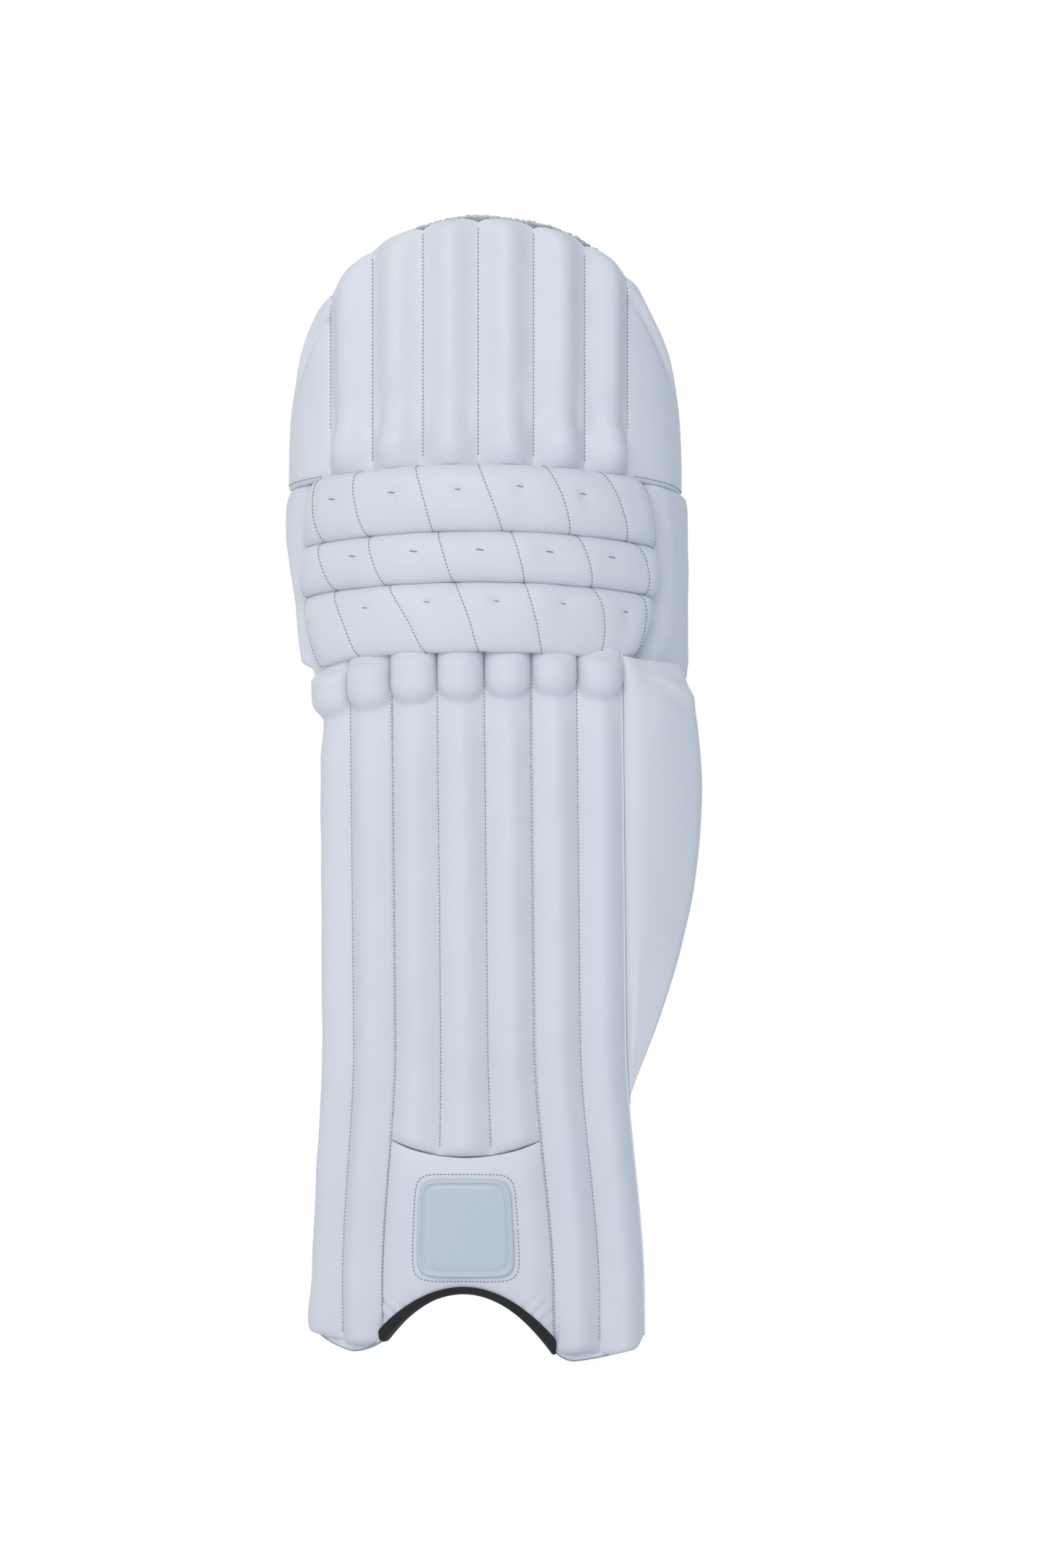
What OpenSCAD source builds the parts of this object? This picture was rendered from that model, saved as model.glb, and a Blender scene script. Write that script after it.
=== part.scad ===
// Cricket leg pad for the left leg, standing upright as it is worn.
// The Z axis is the axis of the leg, the pad's face looks to -Y and the outer side of the leg is +X.
// Lengths are in millimetres. The toes stand on z = 0.

/* [Shin] */
// Height of the shin section, from the toes to the first flex line
shin_h = 441; // [400:1:480]
// Distance from the axis of the leg to the seams of the face
leg_to_face = 80; // [72:1:90]
// Width of one cane channel
pitch = 28.7; // [27.5:0.1:30]
// Added width of each channel over the instep, at the toes
toe_flare = 7; // [4:0.5:8]
// Height of a channel's crown over its seams
crown = 8.5; // [8:0.5:11]
// Plan radius of the inner side
inner_r = 130; // [120:1:145]
// Plan radius of the first channel at the flex line
edge_r_top = 28; // [26:1:45]
// Plan radius of the first channel at the toes
edge_r_toe = 58; // [40:1:70]
// Plan radius of the outer side
outer_r = 320; // [280:1:380]
// Shift of the middle channel toward the inner side at the flex line
middle_shift_top = 6; // [2:0.5:8]
// Shift of the middle channel toward the inner side at the toes
middle_shift_toe = 1.5; // [0:0.5:5]
// Width of the bulb at the top of each channel
bulb_w = 27; // [23:0.5:27.5]
// Height of a bulb over the crown of its channel
bulb_proud = 5; // [4:0.5:7]
// Length of a bulb below the lower roll
bulb_len = 33; // [24:1:45]

/* [Layers] */
// Thickness of the synthetic leather skin
skin_t = 1.4; // [1:0.1:2]
// Thickness of the foam board behind the channels
backing_t = 4; // [2:0.5:6]
// Thickness of the lining
lining_t = 2; // [1:0.5:3]
// Gap between neighbouring layers
layer_gap = 0.3; // [0.2:0.05:0.5]
// Gap round the padding inside a skin
pad_gap = 0.6; // [0.4:0.1:1]
// Diameter of a cane
cane_d = 4.5; // [3:0.5:6]

/* [Toes and instep] */
// Height of the seam over the label panel, at its middle
label_seam_z = 127; // [110:1:150]
// Rise of that seam toward its ends
label_seam_rise = 10; // [4:1:16]
// Padding height of the label panel
label_pad = 6; // [3:0.5:9]
// Radius of the instep arch at its top, from which it runs out as a parabola
arch_r = 39; // [34:0.5:46]
// Height of the top of the instep arch
arch_z = 42.5; // [36:0.5:50]
// Shift of the arch toward the inner side
arch_shift = 2; // [0:0.5:4]
// Width of the binding on the face
binding_w = 5; // [3.5:0.5:7]
// Thickness of the binding
binding_t = 1.4; // [1:0.1:2]
// Height of the lowest point of the inner toe
inner_toe_z = 6; // [2:0.5:12]
// Width of the rubber patch
patch_w = 56; // [40:1:64]
// Height of the rubber patch
patch_h = 60; // [44:1:66]
// Thickness of the rubber patch
patch_t = 2.2; // [1.5:0.1:3.5]
// Height of the middle of the patch
patch_z = 84; // [80:1:88]

/* [Calf wing] */
// Height of the lower end of the calf wing
wing_z0 = 158; // [140:1:180]
// Widest reach of the calf wing, along its curve
wing_w = 62.5; // [50:0.5:72]
// Plan radius of the calf wing
wing_r = 90; // [75:1:120]
// Thickness of the padding in the calf wing
wing_foam_t = 7; // [4:0.5:10]

/* [Knee] */
// Plan radius of the knee and of the top section
knee_r = 130; // [124:1:138]
// Shift of the knee toward the outer side
knee_shift = 5; // [0:0.5:8]
// Height of the lower roll
lower_h = 40; // [34:0.5:46]
// Height of the middle roll
middle_h = 31; // [27:0.5:38]
// Height of the upper roll
upper_h = 41; // [35:0.5:46]
// Depth of the rolls
roll_depth = 21; // [20:0.5:25]
// Slope of the rolls, raised at the front
roll_tilt = 7.5; // [4:0.5:9]
// Turn of the rolls to the inner side
roll_inner_deg = 40; // [34:1:44]
// Turn of the rolls to the outer side
roll_outer_deg = 45; // [38:1:48]
// Draw-in of the inner edge of the knee at its lower end
knee_taper = 11; // [0:0.5:14]
// Turn of the inner side band
band_inner_deg = 63; // [59:0.5:66]
// Turn of the outer side band
band_outer_deg = 76; // [70:0.5:79]
// Thickness of the side bands
band_t = 7.5; // [5:0.5:9]
// Thickness of the padded lining behind the rolls
knee_lining_t = 8; // [5:0.5:10]
// Distance of the flex lines in front of the axis of the leg
flex_y = 38; // [30:1:45]
// Turn at each flex line
flex_deg = 6; // [3:0.5:8]
// Diameter of the knee bolsters
knee_bolster_d = 20; // [14:1:26]

/* [Top section] */
// Height of the top section over the upper roll
top_h = 153; // [130:1:175]
// Width of one cane channel of the top section
top_pitch = 34; // [30:0.5:35]
// Height of a crown of the top section
top_crown = 9.5; // [8:0.5:13]
// Reach of the top section to the inner side, along its curve
top_inner = 145; // [132:1:152]
// Reach of the top section to the outer side, along its curve
top_outer = 166; // [150:1:172]
// Height of the towelling edge over the face
towel_edge = 3; // [1:0.5:5]

/* [Straps] */
// Width of the webbing
strap_w = 38; // [30:1:40]
// Thickness of the webbing
strap_t = 1.8; // [1.2:0.1:2.4]
// Radius of a closed strap
strap_r = 80; // [76:0.5:84]
// Diameter of the ring wire
wire_d = 3; // [2:0.5:4]
// Gap between hook tape and loop tape
tape_gap = 0.4; // [0.3:0.05:0.6]
// Turn of a hook tab round the leg
tab_deg = 72; // [50:1:85]
// Height of the ankle strap
ankle_z = 116; // [95:1:135]
// Height of the calf strap
calf_z = 240; // [220:1:280]
// Height of the knee strap
knee_z = 350; // [320:1:375]
// Diameter of the shin bolsters
bolster_d = 26; // [18:1:30]

/* [Hidden] */
$fn = 48;

// The seven channels of the shin: two inner, three over the instep, two outer
inner_count = 2;
front_count = 3;
outer_count = 2;
channels = inner_count + front_count + outer_count;
front_u0 = inner_count;
front_u1 = inner_count + front_count;
top_channels = 6;
// Half of the gap between two panels, as a share of a channel
seam_u = 0.006;
// Columns across one channel
steps = 8;
// Length over which a channel rounds off at its end
end_round = 14;
// Half of the gap between two sections at rest
flex_gap = 0.5;
dart_deg = flex_deg / 2 + 0.5;
// Turn from one radian
rad = 180 / PI;
stack_t = layer_gap + backing_t + layer_gap + lining_t;
z1 = shin_h;
z2 = z1 + lower_h;
z3 = z2 + middle_h;
z4 = z3 + upper_h;
white = [0.90, 0.92, 0.95];
pale = [0.80, 0.83, 0.88];
black = [0.09, 0.09, 0.10];
foam = [0.93, 0.90, 0.80];
steel = [0.70, 0.72, 0.74];
cane_tan = [0.80, 0.66, 0.42];

function lerp(a, b, t) = a + (b - a) * t;
function sq(x) = x * x;
function root(x) = sqrt(max(0, x));

// Plan of the shin at height z: an arc to each side of the middle channel, and a tighter one for the
// first channel. The channels over the instep spread toward the toes
flare_z0 = 40;
flare_z1 = 200;
function smooth(t) = let (k = min(1, max(0, t))) k * k * (3 - 2 * k);
function middle_pitch(z) =
  pitch + toe_flare * (1 - smooth((z - flare_z0) / (flare_z1 - flare_z0)));
function width_at(u, z) = u >= front_u0 && u < front_u1 ? middle_pitch(z) : pitch;
function edge_r(z) = lerp(edge_r_toe, edge_r_top, z / shin_h);
function middle_x(z) = -lerp(middle_shift_toe, middle_shift_top, z / shin_h);
function shin_s(u, z) =
  let (half = front_count / 2 * middle_pitch(z))
  u < front_u0 ? -half - (front_u0 - u) * pitch
  : u > front_u1 ? half + (u - front_u1) * pitch
  : (u - channels / 2) * middle_pitch(z);

// Place and turn of the seam surface at channel position u and height z, as x, y and degrees
function shin_frame(u, z) =
  let (
    s = shin_s(u, z),
    s1 = shin_s(1, z),
    r = s < 0 ? inner_r : outer_r,
    a = max(s, s1) / r * rad,
    b = a + min(0, s - s1) / edge_r(z) * rad
  )
  [
    middle_x(z) + r * sin(a) + edge_r(z) * (sin(b) - sin(a)),
    -leg_to_face + r * (1 - cos(a)) + edge_r(z) * (cos(a) - cos(b)),
    b
  ];
function shin_turn(u, z) = shin_frame(u, z)[2];

// Point of the shin at channel position u and height z, off millimetres out of the seam surface
function shin_pt(u, z, off) =
  let (f = shin_frame(u, z))
  [f[0] + off * sin(f[2]), f[1] - off * cos(f[2]), z];

// Point of the knee or the top section, at a turn in degrees
function knee_pt(deg, z, off) = [
  knee_shift + (knee_r + off) * sin(deg),
  -leg_to_face + knee_r - (knee_r + off) * cos(deg),
  z
];

// Height of a sloping flex plane at depth y, and how far the dart behind the flex line opens
function flex_z(z, y) = z - (y + leg_to_face) * tan(roll_tilt);
function dart(y) = max(0, y + flex_y) * tan(dart_deg);
// Fullness of the section of a roll, along its depth and along its height
roll_full = 0.8;
roll_square = 0.9;
// Rise of an edge that hugs a round roll, at a distance off from its flat back
function cope(h, off) =
  let (c = pow(min(0.95, max(0, off - 1) / roll_depth), 1 / roll_full))
  h / 2 * (1 - pow(root(1 - sq(c)), roll_square));

// Height of a round crown across a strip of width w, d from its middle line
function crown_r(w, c) = (sq(w / 2) + sq(c)) / (2 * c);
function crown_off(d, w, c, inset) =
  let (r = crown_r(w, c))
  max(0, root(sq(r - inset) - sq(d)) - (r - c) + inset);
function end_factor(d) = d >= end_round ? 1 : root(1 - sq(1 - max(0, d) / end_round));
function across(u, w) = (u - floor(u) - 0.5) * w;

// Lower edge of the shin: toe, instep arch, toe
function arch_at(x, grow) = arch_z - sq(x) / (2 * arch_r) + grow * norm([x, arch_r]) / arch_r;
function inner_toe(u) =
  let (w = inner_count - 0.8)
  u < w ? inner_toe_z + 15 * sq(1 - u / w) : inner_toe_z + 7 * sq((u - w) / 0.8);
function outer_toe(u) =
  let (w = front_u1 + 0.7)
  u < w ? 8 * sq((w - u) / 0.7) : 30 * (1 - root(1 - sq((u - w) / (channels - w))));
function arch_x(u) =
  shin_pt(u, arch_z, 0)[0] - shin_pt(channels / 2, arch_z, 0)[0] + arch_shift;
function front_low(u) = arch_at(arch_x(u), binding_t + 2 * layer_gap);
function shin_low(u) =
  u < front_u0 ? inner_toe(u) : u > front_u1 ? outer_toe(u) : front_low(u);
function label_top(u) =
  label_seam_z + label_seam_rise * sq((u - channels / 2) * 2 / front_count);

// Upper edge of the shin under the lower roll
function shin_flex(u) =
  let (y = shin_pt(u, shin_h, 0)[1])
  flex_z(z1, y) - flex_gap - dart(y);
function bulb_tip(u) = shin_flex(floor(u) + 0.5) - bulb_len;

function bulb_off(u, z, inset) =
  let (
    d = across(u, width_at(u, z)),
    dz = min(0, z - bulb_tip(min(u, channels - 0.01)) - bulb_w / 2),
    q = sq(bulb_w / 2 - inset) - sq(d) - sq(dz)
  )
  q > 0 ? crown + bulb_proud - bulb_w / 2 + inset + sqrt(q) : 0;
function channel_off(u, z, inset, d_end) =
  max(
    crown_off(across(u, width_at(u, z)), width_at(u, z), crown, inset) * end_factor(d_end - inset),
    bulb_off(u, z, inset)
  );

// A closed solid between a front grid and a back grid of points, rows running upward
module slab(front, back) {
  rows = len(front);
  cols = len(front[0]);
  n = rows * cols;
  f = function (r, c) r * cols + c;
  b = function (r, c) n + r * cols + c;
  last_r = rows - 1;
  last_c = cols - 1;
  quad = function (p, q, r, s) [[p, q, r], [p, r, s]];
  sides = [
    for (r = [0 : last_r - 1], c = [0 : last_c - 1])
      each concat(
        quad(f(r, c), f(r + 1, c), f(r + 1, c + 1), f(r, c + 1)),
        quad(b(r, c), b(r, c + 1), b(r + 1, c + 1), b(r + 1, c))
      )
  ];
  ends = [
    for (c = [0 : last_c - 1])
      each concat(
        quad(f(0, c), f(0, c + 1), b(0, c + 1), b(0, c)),
        quad(f(last_r, c), b(last_r, c), b(last_r, c + 1), f(last_r, c + 1))
      )
  ];
  edges = [
    for (r = [0 : last_r - 1])
      each concat(
        quad(f(r, 0), b(r, 0), b(r + 1, 0), f(r + 1, 0)),
        quad(f(r, last_c), f(r + 1, last_c), b(r + 1, last_c), b(r, last_c))
      )
  ];
  points = [for (g = [front, back]) for (row = g) for (p = row) p];
  polyhedron(points, concat(sides, ends, edges), convexity = 10);
}

// A closed bar from a list of rings of points
module bar(rings) {
  n = len(rings[0]);
  last = len(rings) - 1;
  walls = [
    for (i = [0 : last - 1], k = [0 : n - 1])
      let (a = i * n + k, b = i * n + (k + 1) % n, c = a + n, d = b + n)
      each [[a, b, d], [a, d, c]]
  ];
  caps = [[for (k = [n - 1 : -1 : 0]) k], [for (k = [0 : n - 1]) last * n + k]];
  polyhedron([for (g = rings) for (p = g) p], concat(walls, caps), convexity = 10);
}

// A round rod from point p to point q
module rod(p, q, d) {
  v = q - p;
  translate(p)
    rotate([0, acos(v[2] / norm(v)), atan2(v[1], v[0])])
      cylinder(d = d, h = norm(v));
}

// A sector of a ring round the Z axis, with the turn counted from -Y toward +X
module sector(r0, r1, deg0, deg1, z0, z1) {
  rotate([0, 0, deg0 - 90])
    rotate_extrude(angle = deg1 - deg0)
      translate([r0, z0])
        square([r1 - r0, z1 - z0]);
}

// Columns across channels, closer together at the steep sides of each crown
function columns(u0, u1) = [
  for (c = [u0 : u1 - 1], k = [0 : steps - 1]) c + 0.5 - 0.5 * cos(k * 180 / steps),
  u1
];
function inset_ends(list, e) = [
  for (i = [0 : len(list) - 1])
    i == 0 ? list[i] + e : i == len(list) - 1 ? list[i] - e : list[i]
];

// Rows of a shin panel, as distances over its lower edge and under its upper edge
low_rows = [0, 2, 6.5, 15];
mid_rows = [0.07, 0.15, 0.23, 0.31, 0.39, 0.48, 0.74];
top_rows = [
  bulb_len + 7, bulb_len + 0.5, bulb_len - 1.5, bulb_len - 4, bulb_len - 7, bulb_len - 11,
  bulb_len / 2, bulb_len / 4, 0
];

module face_panel(u0, u1, low) {
  cols = inset_ends(columns(u0, u1), seam_u);
  // Height of row j over channel position u
  n_low = len(low_rows);
  n_mid = len(mid_rows);
  n_top = len(top_rows);
  top = function (u)
    shin_flex(u) + cope(lower_h, skin_t + channel_off(u, shin_flex(u), 0, end_round)) * 0.75;
  row = function (j, u)
    j < n_low ? low(u) + low_rows[j]
    : j < n_low + n_mid ? lerp(low(u) + low_rows[n_low - 1], top(u) - top_rows[0], mid_rows[j - n_low])
    : top(u) - top_rows[j - n_low - n_mid];
  grid = function (inset, base) [
    for (j = [0 : n_low + n_mid + n_top - 1]) [
      for (u = cols)
        let (z = row(j, u))
        shin_pt(u, z, layer_gap + base + channel_off(u, z, inset, z - low(u)))
    ]
  ];
  slab(grid(0, skin_t), grid(skin_t, 0));
}

module shin_face_inner() {
  color(white) face_panel(0, front_u0, function (u) inner_toe(u));
}

module shin_face_front() {
  color(white) face_panel(front_u0, front_u1, function (u) label_top(u) + layer_gap);
}

module shin_face_outer() {
  color(white) face_panel(front_u1, channels, function (u) outer_toe(u));
}

// Lower and upper end of the padding in channel i
function wadding_low(i) =
  let (ends = [for (k = [0.05 : 0.15 : 0.95]) shin_low(i + k)], seam = label_top(i + 0.5))
  i < front_u0 || i >= front_u1 ? max(ends) + end_round : seam + end_round;
function wadding_top(i) = bulb_tip(i) - pad_gap;

// Shares of a channel's height, closer together where the channels spread
pad_rows = [0, 0.08, 0.16, 0.24, 0.32, 0.4, 0.52, 1];

module cane_pair(i, d, z0, z1) {
  for (k = [-1, 1])
    bar([
      for (t = pad_rows)
        let (p = shin_pt(i + 0.5 + k * 0.16, lerp(z0, z1, t), layer_gap + d / 2))
        [for (a = [0 : 45 : 315]) p + d / 2 * [cos(a), sin(a), 0]]
    ]);
}

// Padding in front of the canes, which lie on the foam board
module shin_wadding() {
  inset = skin_t + pad_gap;
  back = cane_d + 4 * layer_gap;
  color(foam)
    for (i = [0 : channels - 1]) {
      z0 = wadding_low(i);
      z1 = wadding_top(i);
      grid = function (front) [
        for (t = pad_rows) [
          for (k = [0 : steps])
            let (
              z = lerp(z0, z1, t),
              w = width_at(i, z),
              r = crown_r(w, crown),
              low = r - crown - skin_t,
              half = root(sq(r - inset) - sq(low + back)) - pad_gap,
              d = -half * cos(k * 180 / steps),
              off = front ? root(sq(r - inset) - sq(d)) - low : back
            )
            shin_pt(i + 0.5 + d / w, z, layer_gap + off)
        ]
      ];
      slab(grid(true), grid(false));
    }
}

module shin_canes() {
  color(cane_tan)
    for (i = [0 : channels - 1])
      cane_pair(i, cane_d, wadding_low(i) + 4, wadding_top(i) - 2);
}

// Plugs that fill the bulbs, flat on the side of the foam board
module bulb_stuffing() {
  inset = skin_t + pad_gap;
  r = bulb_w / 2 - inset - layer_gap;
  lift = layer_gap + skin_t + crown + bulb_proud - bulb_w / 2;
  n = 6;
  color(foam)
    for (i = [0 : channels - 1]) {
      zt = bulb_tip(i) + inset;
      zb = shin_flex(i + 0.5) - 3;
      // Rows close up toward the round tip
      grid = function (front) [
        for (t = [0.05, 0.18, 0.42, 0.7, 1, 2]) [
          for (k = [0 : n])
            let (
              z = t <= 1 ? zt + r * t : zb,
              rk = r * root(1 - sq(1 - min(1, t))),
              d = -rk * 0.97 * cos(k * 180 / n),
              low = layer_gap + 0.1,
              off = front ? max(low + 0.4, lift + root(sq(rk) - sq(d))) : low
            )
            shin_pt(i + 0.5 + d / width_at(i, z), z, off)
        ]
      ];
      slab(grid(true), grid(false));
    }
}

// A sheet behind the channels, from off0 to off1 under the seams
module shin_sheet(off0, off1, trim) {
  cols = inset_ends(columns(0, channels), 0.02 + trim / pitch);
  use_cols = [for (k = [0 : 4 : len(cols) - 1]) cols[k]];
  grid = function (off) [
    for (t = [0, 0.06, 0.3, 0.65, 1]) [
      for (u = use_cols)
        let (z = lerp(shin_low(u) + trim, shin_flex(u) - trim * 0.2, t))
        shin_pt(u, z, -off)
    ]
  ];
  slab(grid(off0), grid(off1));
}

module shin_backing() {
  color(foam) shin_sheet(0, backing_t, 5);
}

module shin_lining() {
  color(pale) shin_sheet(backing_t + layer_gap, backing_t + layer_gap + lining_t, 3.5);
}

// Upright stuffed tube on the lining, rounded off at both ends
module bolster(u, z0, z1) {
  r = bolster_d / 2;
  bar([
    for (e = [[z0, 0.1], [z0, 0.4], [z0, 1], [z1, 1], [z1, 0.4], [z1, 0.1]])
      let (
        k = root(1 - sq(1 - e[1])),
        z = e[0] + r * (e[0] == z0 ? e[1] - 1 : 1 - e[1]),
        turn = shin_turn(u, z),
        out = [sin(turn), -cos(turn), 0],
        along = [cos(turn), sin(turn), 0],
        p = shin_pt(u, z, -stack_t - r)
      )
      [for (phi = [0 : 30 : 330]) p + r * k * (along * cos(phi) + out * -sin(phi))]
  ]);
}

module shin_bolster_inner() {
  color(pale) bolster(front_u0 + 0.1, ankle_z + 40, shin_h - 75);
}

module shin_bolster_outer() {
  color(pale) bolster(front_u1 - 0.1, ankle_z + 40, shin_h - 75);
}

// Outer surface of the label panel, rising from its seams and from its lower edge
function label_rise(u, up) =
  let (
    side = min(u - front_u0, front_u1 - u) * middle_pitch(arch_z),
    rise = 1 - sq(1 - min(1, side / 16))
  )
  label_pad * rise * (1 - 0.6 * sq(1 - min(1, up / 18)));
function label_off(u, z) =
  let (
    up = min(label_top(u) - z, z - front_low(u))
  )
  layer_gap + skin_t + label_rise(u, up);

module label_panel() {
  cols = [for (k = [0 : 12]) lerp(front_u0 + seam_u, front_u1 - seam_u, k / 12)];
  grid = function (front) [
    for (t = [0, 0.08, 0.2, 0.5, 0.8, 0.92, 1]) [
      for (u = cols)
        let (z = lerp(front_low(u), label_top(u) - layer_gap, t))
        shin_pt(u, z, front ? label_off(u, z) : layer_gap)
    ]
  ];
  color(white) slab(grid(true), grid(false));
}

// Rounded oblong patch that lies on the crown of the label panel
module label_patch() {
  n = 10;
  half = patch_w / 2;
  grid = function (lift) [
    for (j = [-1, 0, 1]) [
      for (k = [0 : n])
        let (
          x = -half * 0.995 * cos(k * 180 / n),
          h = patch_h / 2 * pow(1 - pow(abs(x) / half, 6), 1 / 6),
          z = patch_z + h * j,
          u = channels / 2 + x / middle_pitch(patch_z)
        )
        shin_pt(u, z, layer_gap + skin_t + label_pad + layer_gap + lift)
    ]
  ];
  color(pale) slab(grid(patch_t), grid(0));
}

// Folded tape along the arch: a lip on the face, the edge and a lip on the lining
module instep_binding() {
  base = skin_t + 2 * layer_gap;
  back = -(stack_t + layer_gap);
  half = front_count / 2 * middle_pitch(arch_z);
  profile = function (low, high, w) [
    [0, back - binding_t], [w, back - binding_t], [w, back],
    [binding_t, back], [binding_t, low], [w, high],
    [w, high + binding_t], [0, low + binding_t]
  ];
  rings = [
    for (k = [0 : 20])
      let (
        u = lerp(front_u0 + 0.1, front_u1 - 0.1, k / 20),
        x = arch_x(u),
        turn = shin_turn(u, arch_z),
        lean = x / norm([x, arch_r]),
        up = [lean * cos(turn), lean * sin(turn), root(1 - sq(lean))],
        out = [sin(turn), -cos(turn), 0],
        p = shin_pt(u, arch_at(x, 0), 0),
        low = base + label_rise(u, binding_t),
        high = base + label_rise(u, 2 * binding_w),
        // The lips narrow where the arch runs into the toes
        room = (half - abs(x - arch_shift)) / max(0.2, abs(lean)) - 1,
        w = min(binding_w, max(binding_t + 0.4, room))
      )
      [for (q = profile(low, high, w)) p + up * q[0] + out * q[1]]
  ];
  color(black) bar(rings);
}

// Edge tape under both toes
module toe_piping() {
  profile = [[-1.6, -stack_t], [-0.2, -stack_t], [-0.2, skin_t], [-1.6, skin_t]];
  color(pale)
    for (side = [[0.04, front_u0 - 0.06], [front_u1 + 0.06, channels - 0.12]])
      bar([
        for (k = [0 : 12])
          let (
            u = lerp(side[0], side[1], k / 12),
            z = shin_low(u),
            turn = shin_turn(u, z),
            out = [sin(turn), -cos(turn), 0],
            p = shin_pt(u, z, 0)
          )
          [for (q = profile) p + [0, 0, q[0]] + out * q[1]]
      ]);
}

// Straps: a band round the leg, folded round the wire of its ring
band_r = strap_r - wire_d / 2 - layer_gap - strap_t / 2;
tab_r = strap_r + wire_d / 2 + layer_gap + strap_t / 2;
tape_t = (tab_r - band_r - strap_t - tape_gap) / 2;
strap_x = -2;
strap_y = -6;
// Turns of the two wires of a ring, and of the ends of the tapes, counted from -Y toward +X
wire_turn = 86;
keeper_turn = 74;
fold_gap_deg = 4;
// Turn at which the outside of the band reaches the lining on the inner side
function band_end(z) =
  let (
    r2 = inner_r - stack_t - layer_gap,
    r1 = band_r + strap_t / 2,
    cx = strap_x - middle_x(z),
    cy = strap_y + leg_to_face - inner_r,
    k = (sq(r2) - sq(r1) - sq(cx) - sq(cy)) / (2 * r1),
    reach = norm([cx, cy])
  )
  atan2(cx, -cy) - acos(k / reach);
function ring_pt(deg, z) = [strap_x + strap_r * sin(deg), strap_y - strap_r * cos(deg), z];

module at_strap(z) {
  translate([strap_x, strap_y, z]) children();
}

module strap(z) {
  at_strap(z) {
    sector(band_r - strap_t / 2, band_r + strap_t / 2, wire_turn, 360 + band_end(z),
      -strap_w / 2, strap_w / 2);
    rotate([0, 0, wire_turn - 90])
      translate([strap_r, 0, -strap_w / 2])
        rotate([0, 0, 180])
          rotate_extrude(angle = 180)
            translate([wire_d / 2 + layer_gap, 0])
              square([strap_t, strap_w]);
    sector(tab_r - strap_t / 2, tab_r + strap_t / 2, wire_turn, wire_turn + 2,
      -strap_w / 2, strap_w / 2);
  }
}

module ankle_strap() {
  color(white) strap(ankle_z);
}

module calf_strap() {
  color(white) strap(calf_z);
}

module knee_strap() {
  color(white) strap(knee_z);
}

module tab(z) {
  at_strap(z)
    sector(tab_r - strap_t / 2, tab_r + strap_t / 2, wire_turn + 2.4, wire_turn + tab_deg,
      -strap_w / 2, strap_w / 2);
}

module ankle_tab() {
  color(white) tab(ankle_z);
}

module calf_tab() {
  color(white) tab(calf_z);
}

module knee_tab() {
  color(white) tab(knee_z);
}

module hook_tape(z) {
  r = tab_r - strap_t / 2 - 0.02;
  at_strap(z)
    sector(r - tape_t + 0.02, r, wire_turn + 6, wire_turn + tab_deg - 1,
      -strap_w / 2 + 2, strap_w / 2 - 2);
}

module ankle_hook() {
  color(black) hook_tape(ankle_z);
}

module calf_hook() {
  color(black) hook_tape(calf_z);
}

module knee_hook() {
  color(black) hook_tape(knee_z);
}

module loop_patches() {
  r = band_r + strap_t / 2 + 0.02;
  color(pale)
    for (z = [ankle_z, calf_z, knee_z])
      at_strap(z)
        sector(r, r + tape_t - 0.02, wire_turn + 6, wire_turn + tab_deg + 8,
          -strap_w / 2 + 2, strap_w / 2 - 2);
}

ring_h = strap_w + 4 + wire_d;

module strap_rings() {
  color(steel)
    for (z = [ankle_z, calf_z, knee_z]) {
      a = ring_pt(wire_turn, z - ring_h / 2);
      b = ring_pt(keeper_turn, z - ring_h / 2);
      up = [0, 0, ring_h];
      rod(a, a + up, wire_d);
      rod(b, b + up, wire_d);
      rod(a, b, wire_d);
      rod(a + up, b + up, wire_d);
      for (p = [a, b, a + up, b + up])
        translate(p) sphere(d = wire_d);
    }
}

// Tab of webbing from the edge of the lining round the second wire of a ring
module ring_keepers() {
  r0 = wire_d / 2 + layer_gap;
  r1 = r0 + strap_t;
  color(white)
    for (z = [ankle_z, calf_z, knee_z]) {
      p = ring_pt(keeper_turn, z);
      q = shin_pt(channels - 0.25, z, -stack_t - layer_gap);
      v = q - p;
      translate([p[0], p[1], z - strap_w / 2])
        rotate([0, 0, atan2(v[1], v[0])])
          difference() {
            union() {
              cylinder(r = r1, h = strap_w);
              translate([0, -strap_t, 0])
                cube([norm(v) - strap_t, 2 * strap_t, strap_w]);
            }
            translate([0, 0, -1]) cylinder(r = r0, h = strap_w + 2);
          }
    }
}

// Calf wing: goes on from the last channel with its own radius
function wing_span(t) = sin(126 * pow(max(0, t), 1.1));
function wing_top(y) = flex_z(z1, y) - flex_gap - dart(y) - 1;
function wing_pt(w, z, off) =
  let (f = shin_frame(channels, z), a = f[2] + w / wing_r * rad)
  [
    f[0] + wing_r * (sin(a) - sin(f[2])) + off * sin(a),
    f[1] + wing_r * (cos(f[2]) - cos(a)) - off * cos(a),
    z
  ];

wing_rows = [0, 0.08, 0.2, 0.35, 0.5, 0.65, 0.8, 0.92, 1];
wing_cols = [0, 0.06, 0.2, 0.4, 0.6, 0.8, 0.94, 1];
// Clearance of the wing from its seam, which it turns on
wing_start = 0.9;

module wing_layer(front, back, trim) {
  z_top = wing_top(wing_pt(wing_w * 0.6, shin_h, 0)[1]);
  grid = function (off) [
    for (t = wing_rows) [
      for (c = wing_cols)
        let (
          w = max(8, wing_w * wing_span(t)) - trim,
          s = lerp(wing_start + trim, w, c),
          y = wing_pt(s, z_top, 0)[1],
          z = lerp(wing_z0 + trim, wing_top(y) - trim, t)
        )
        wing_pt(s, z, off(t, c))
    ]
  ];
  slab(grid(front), grid(back));
}

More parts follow.
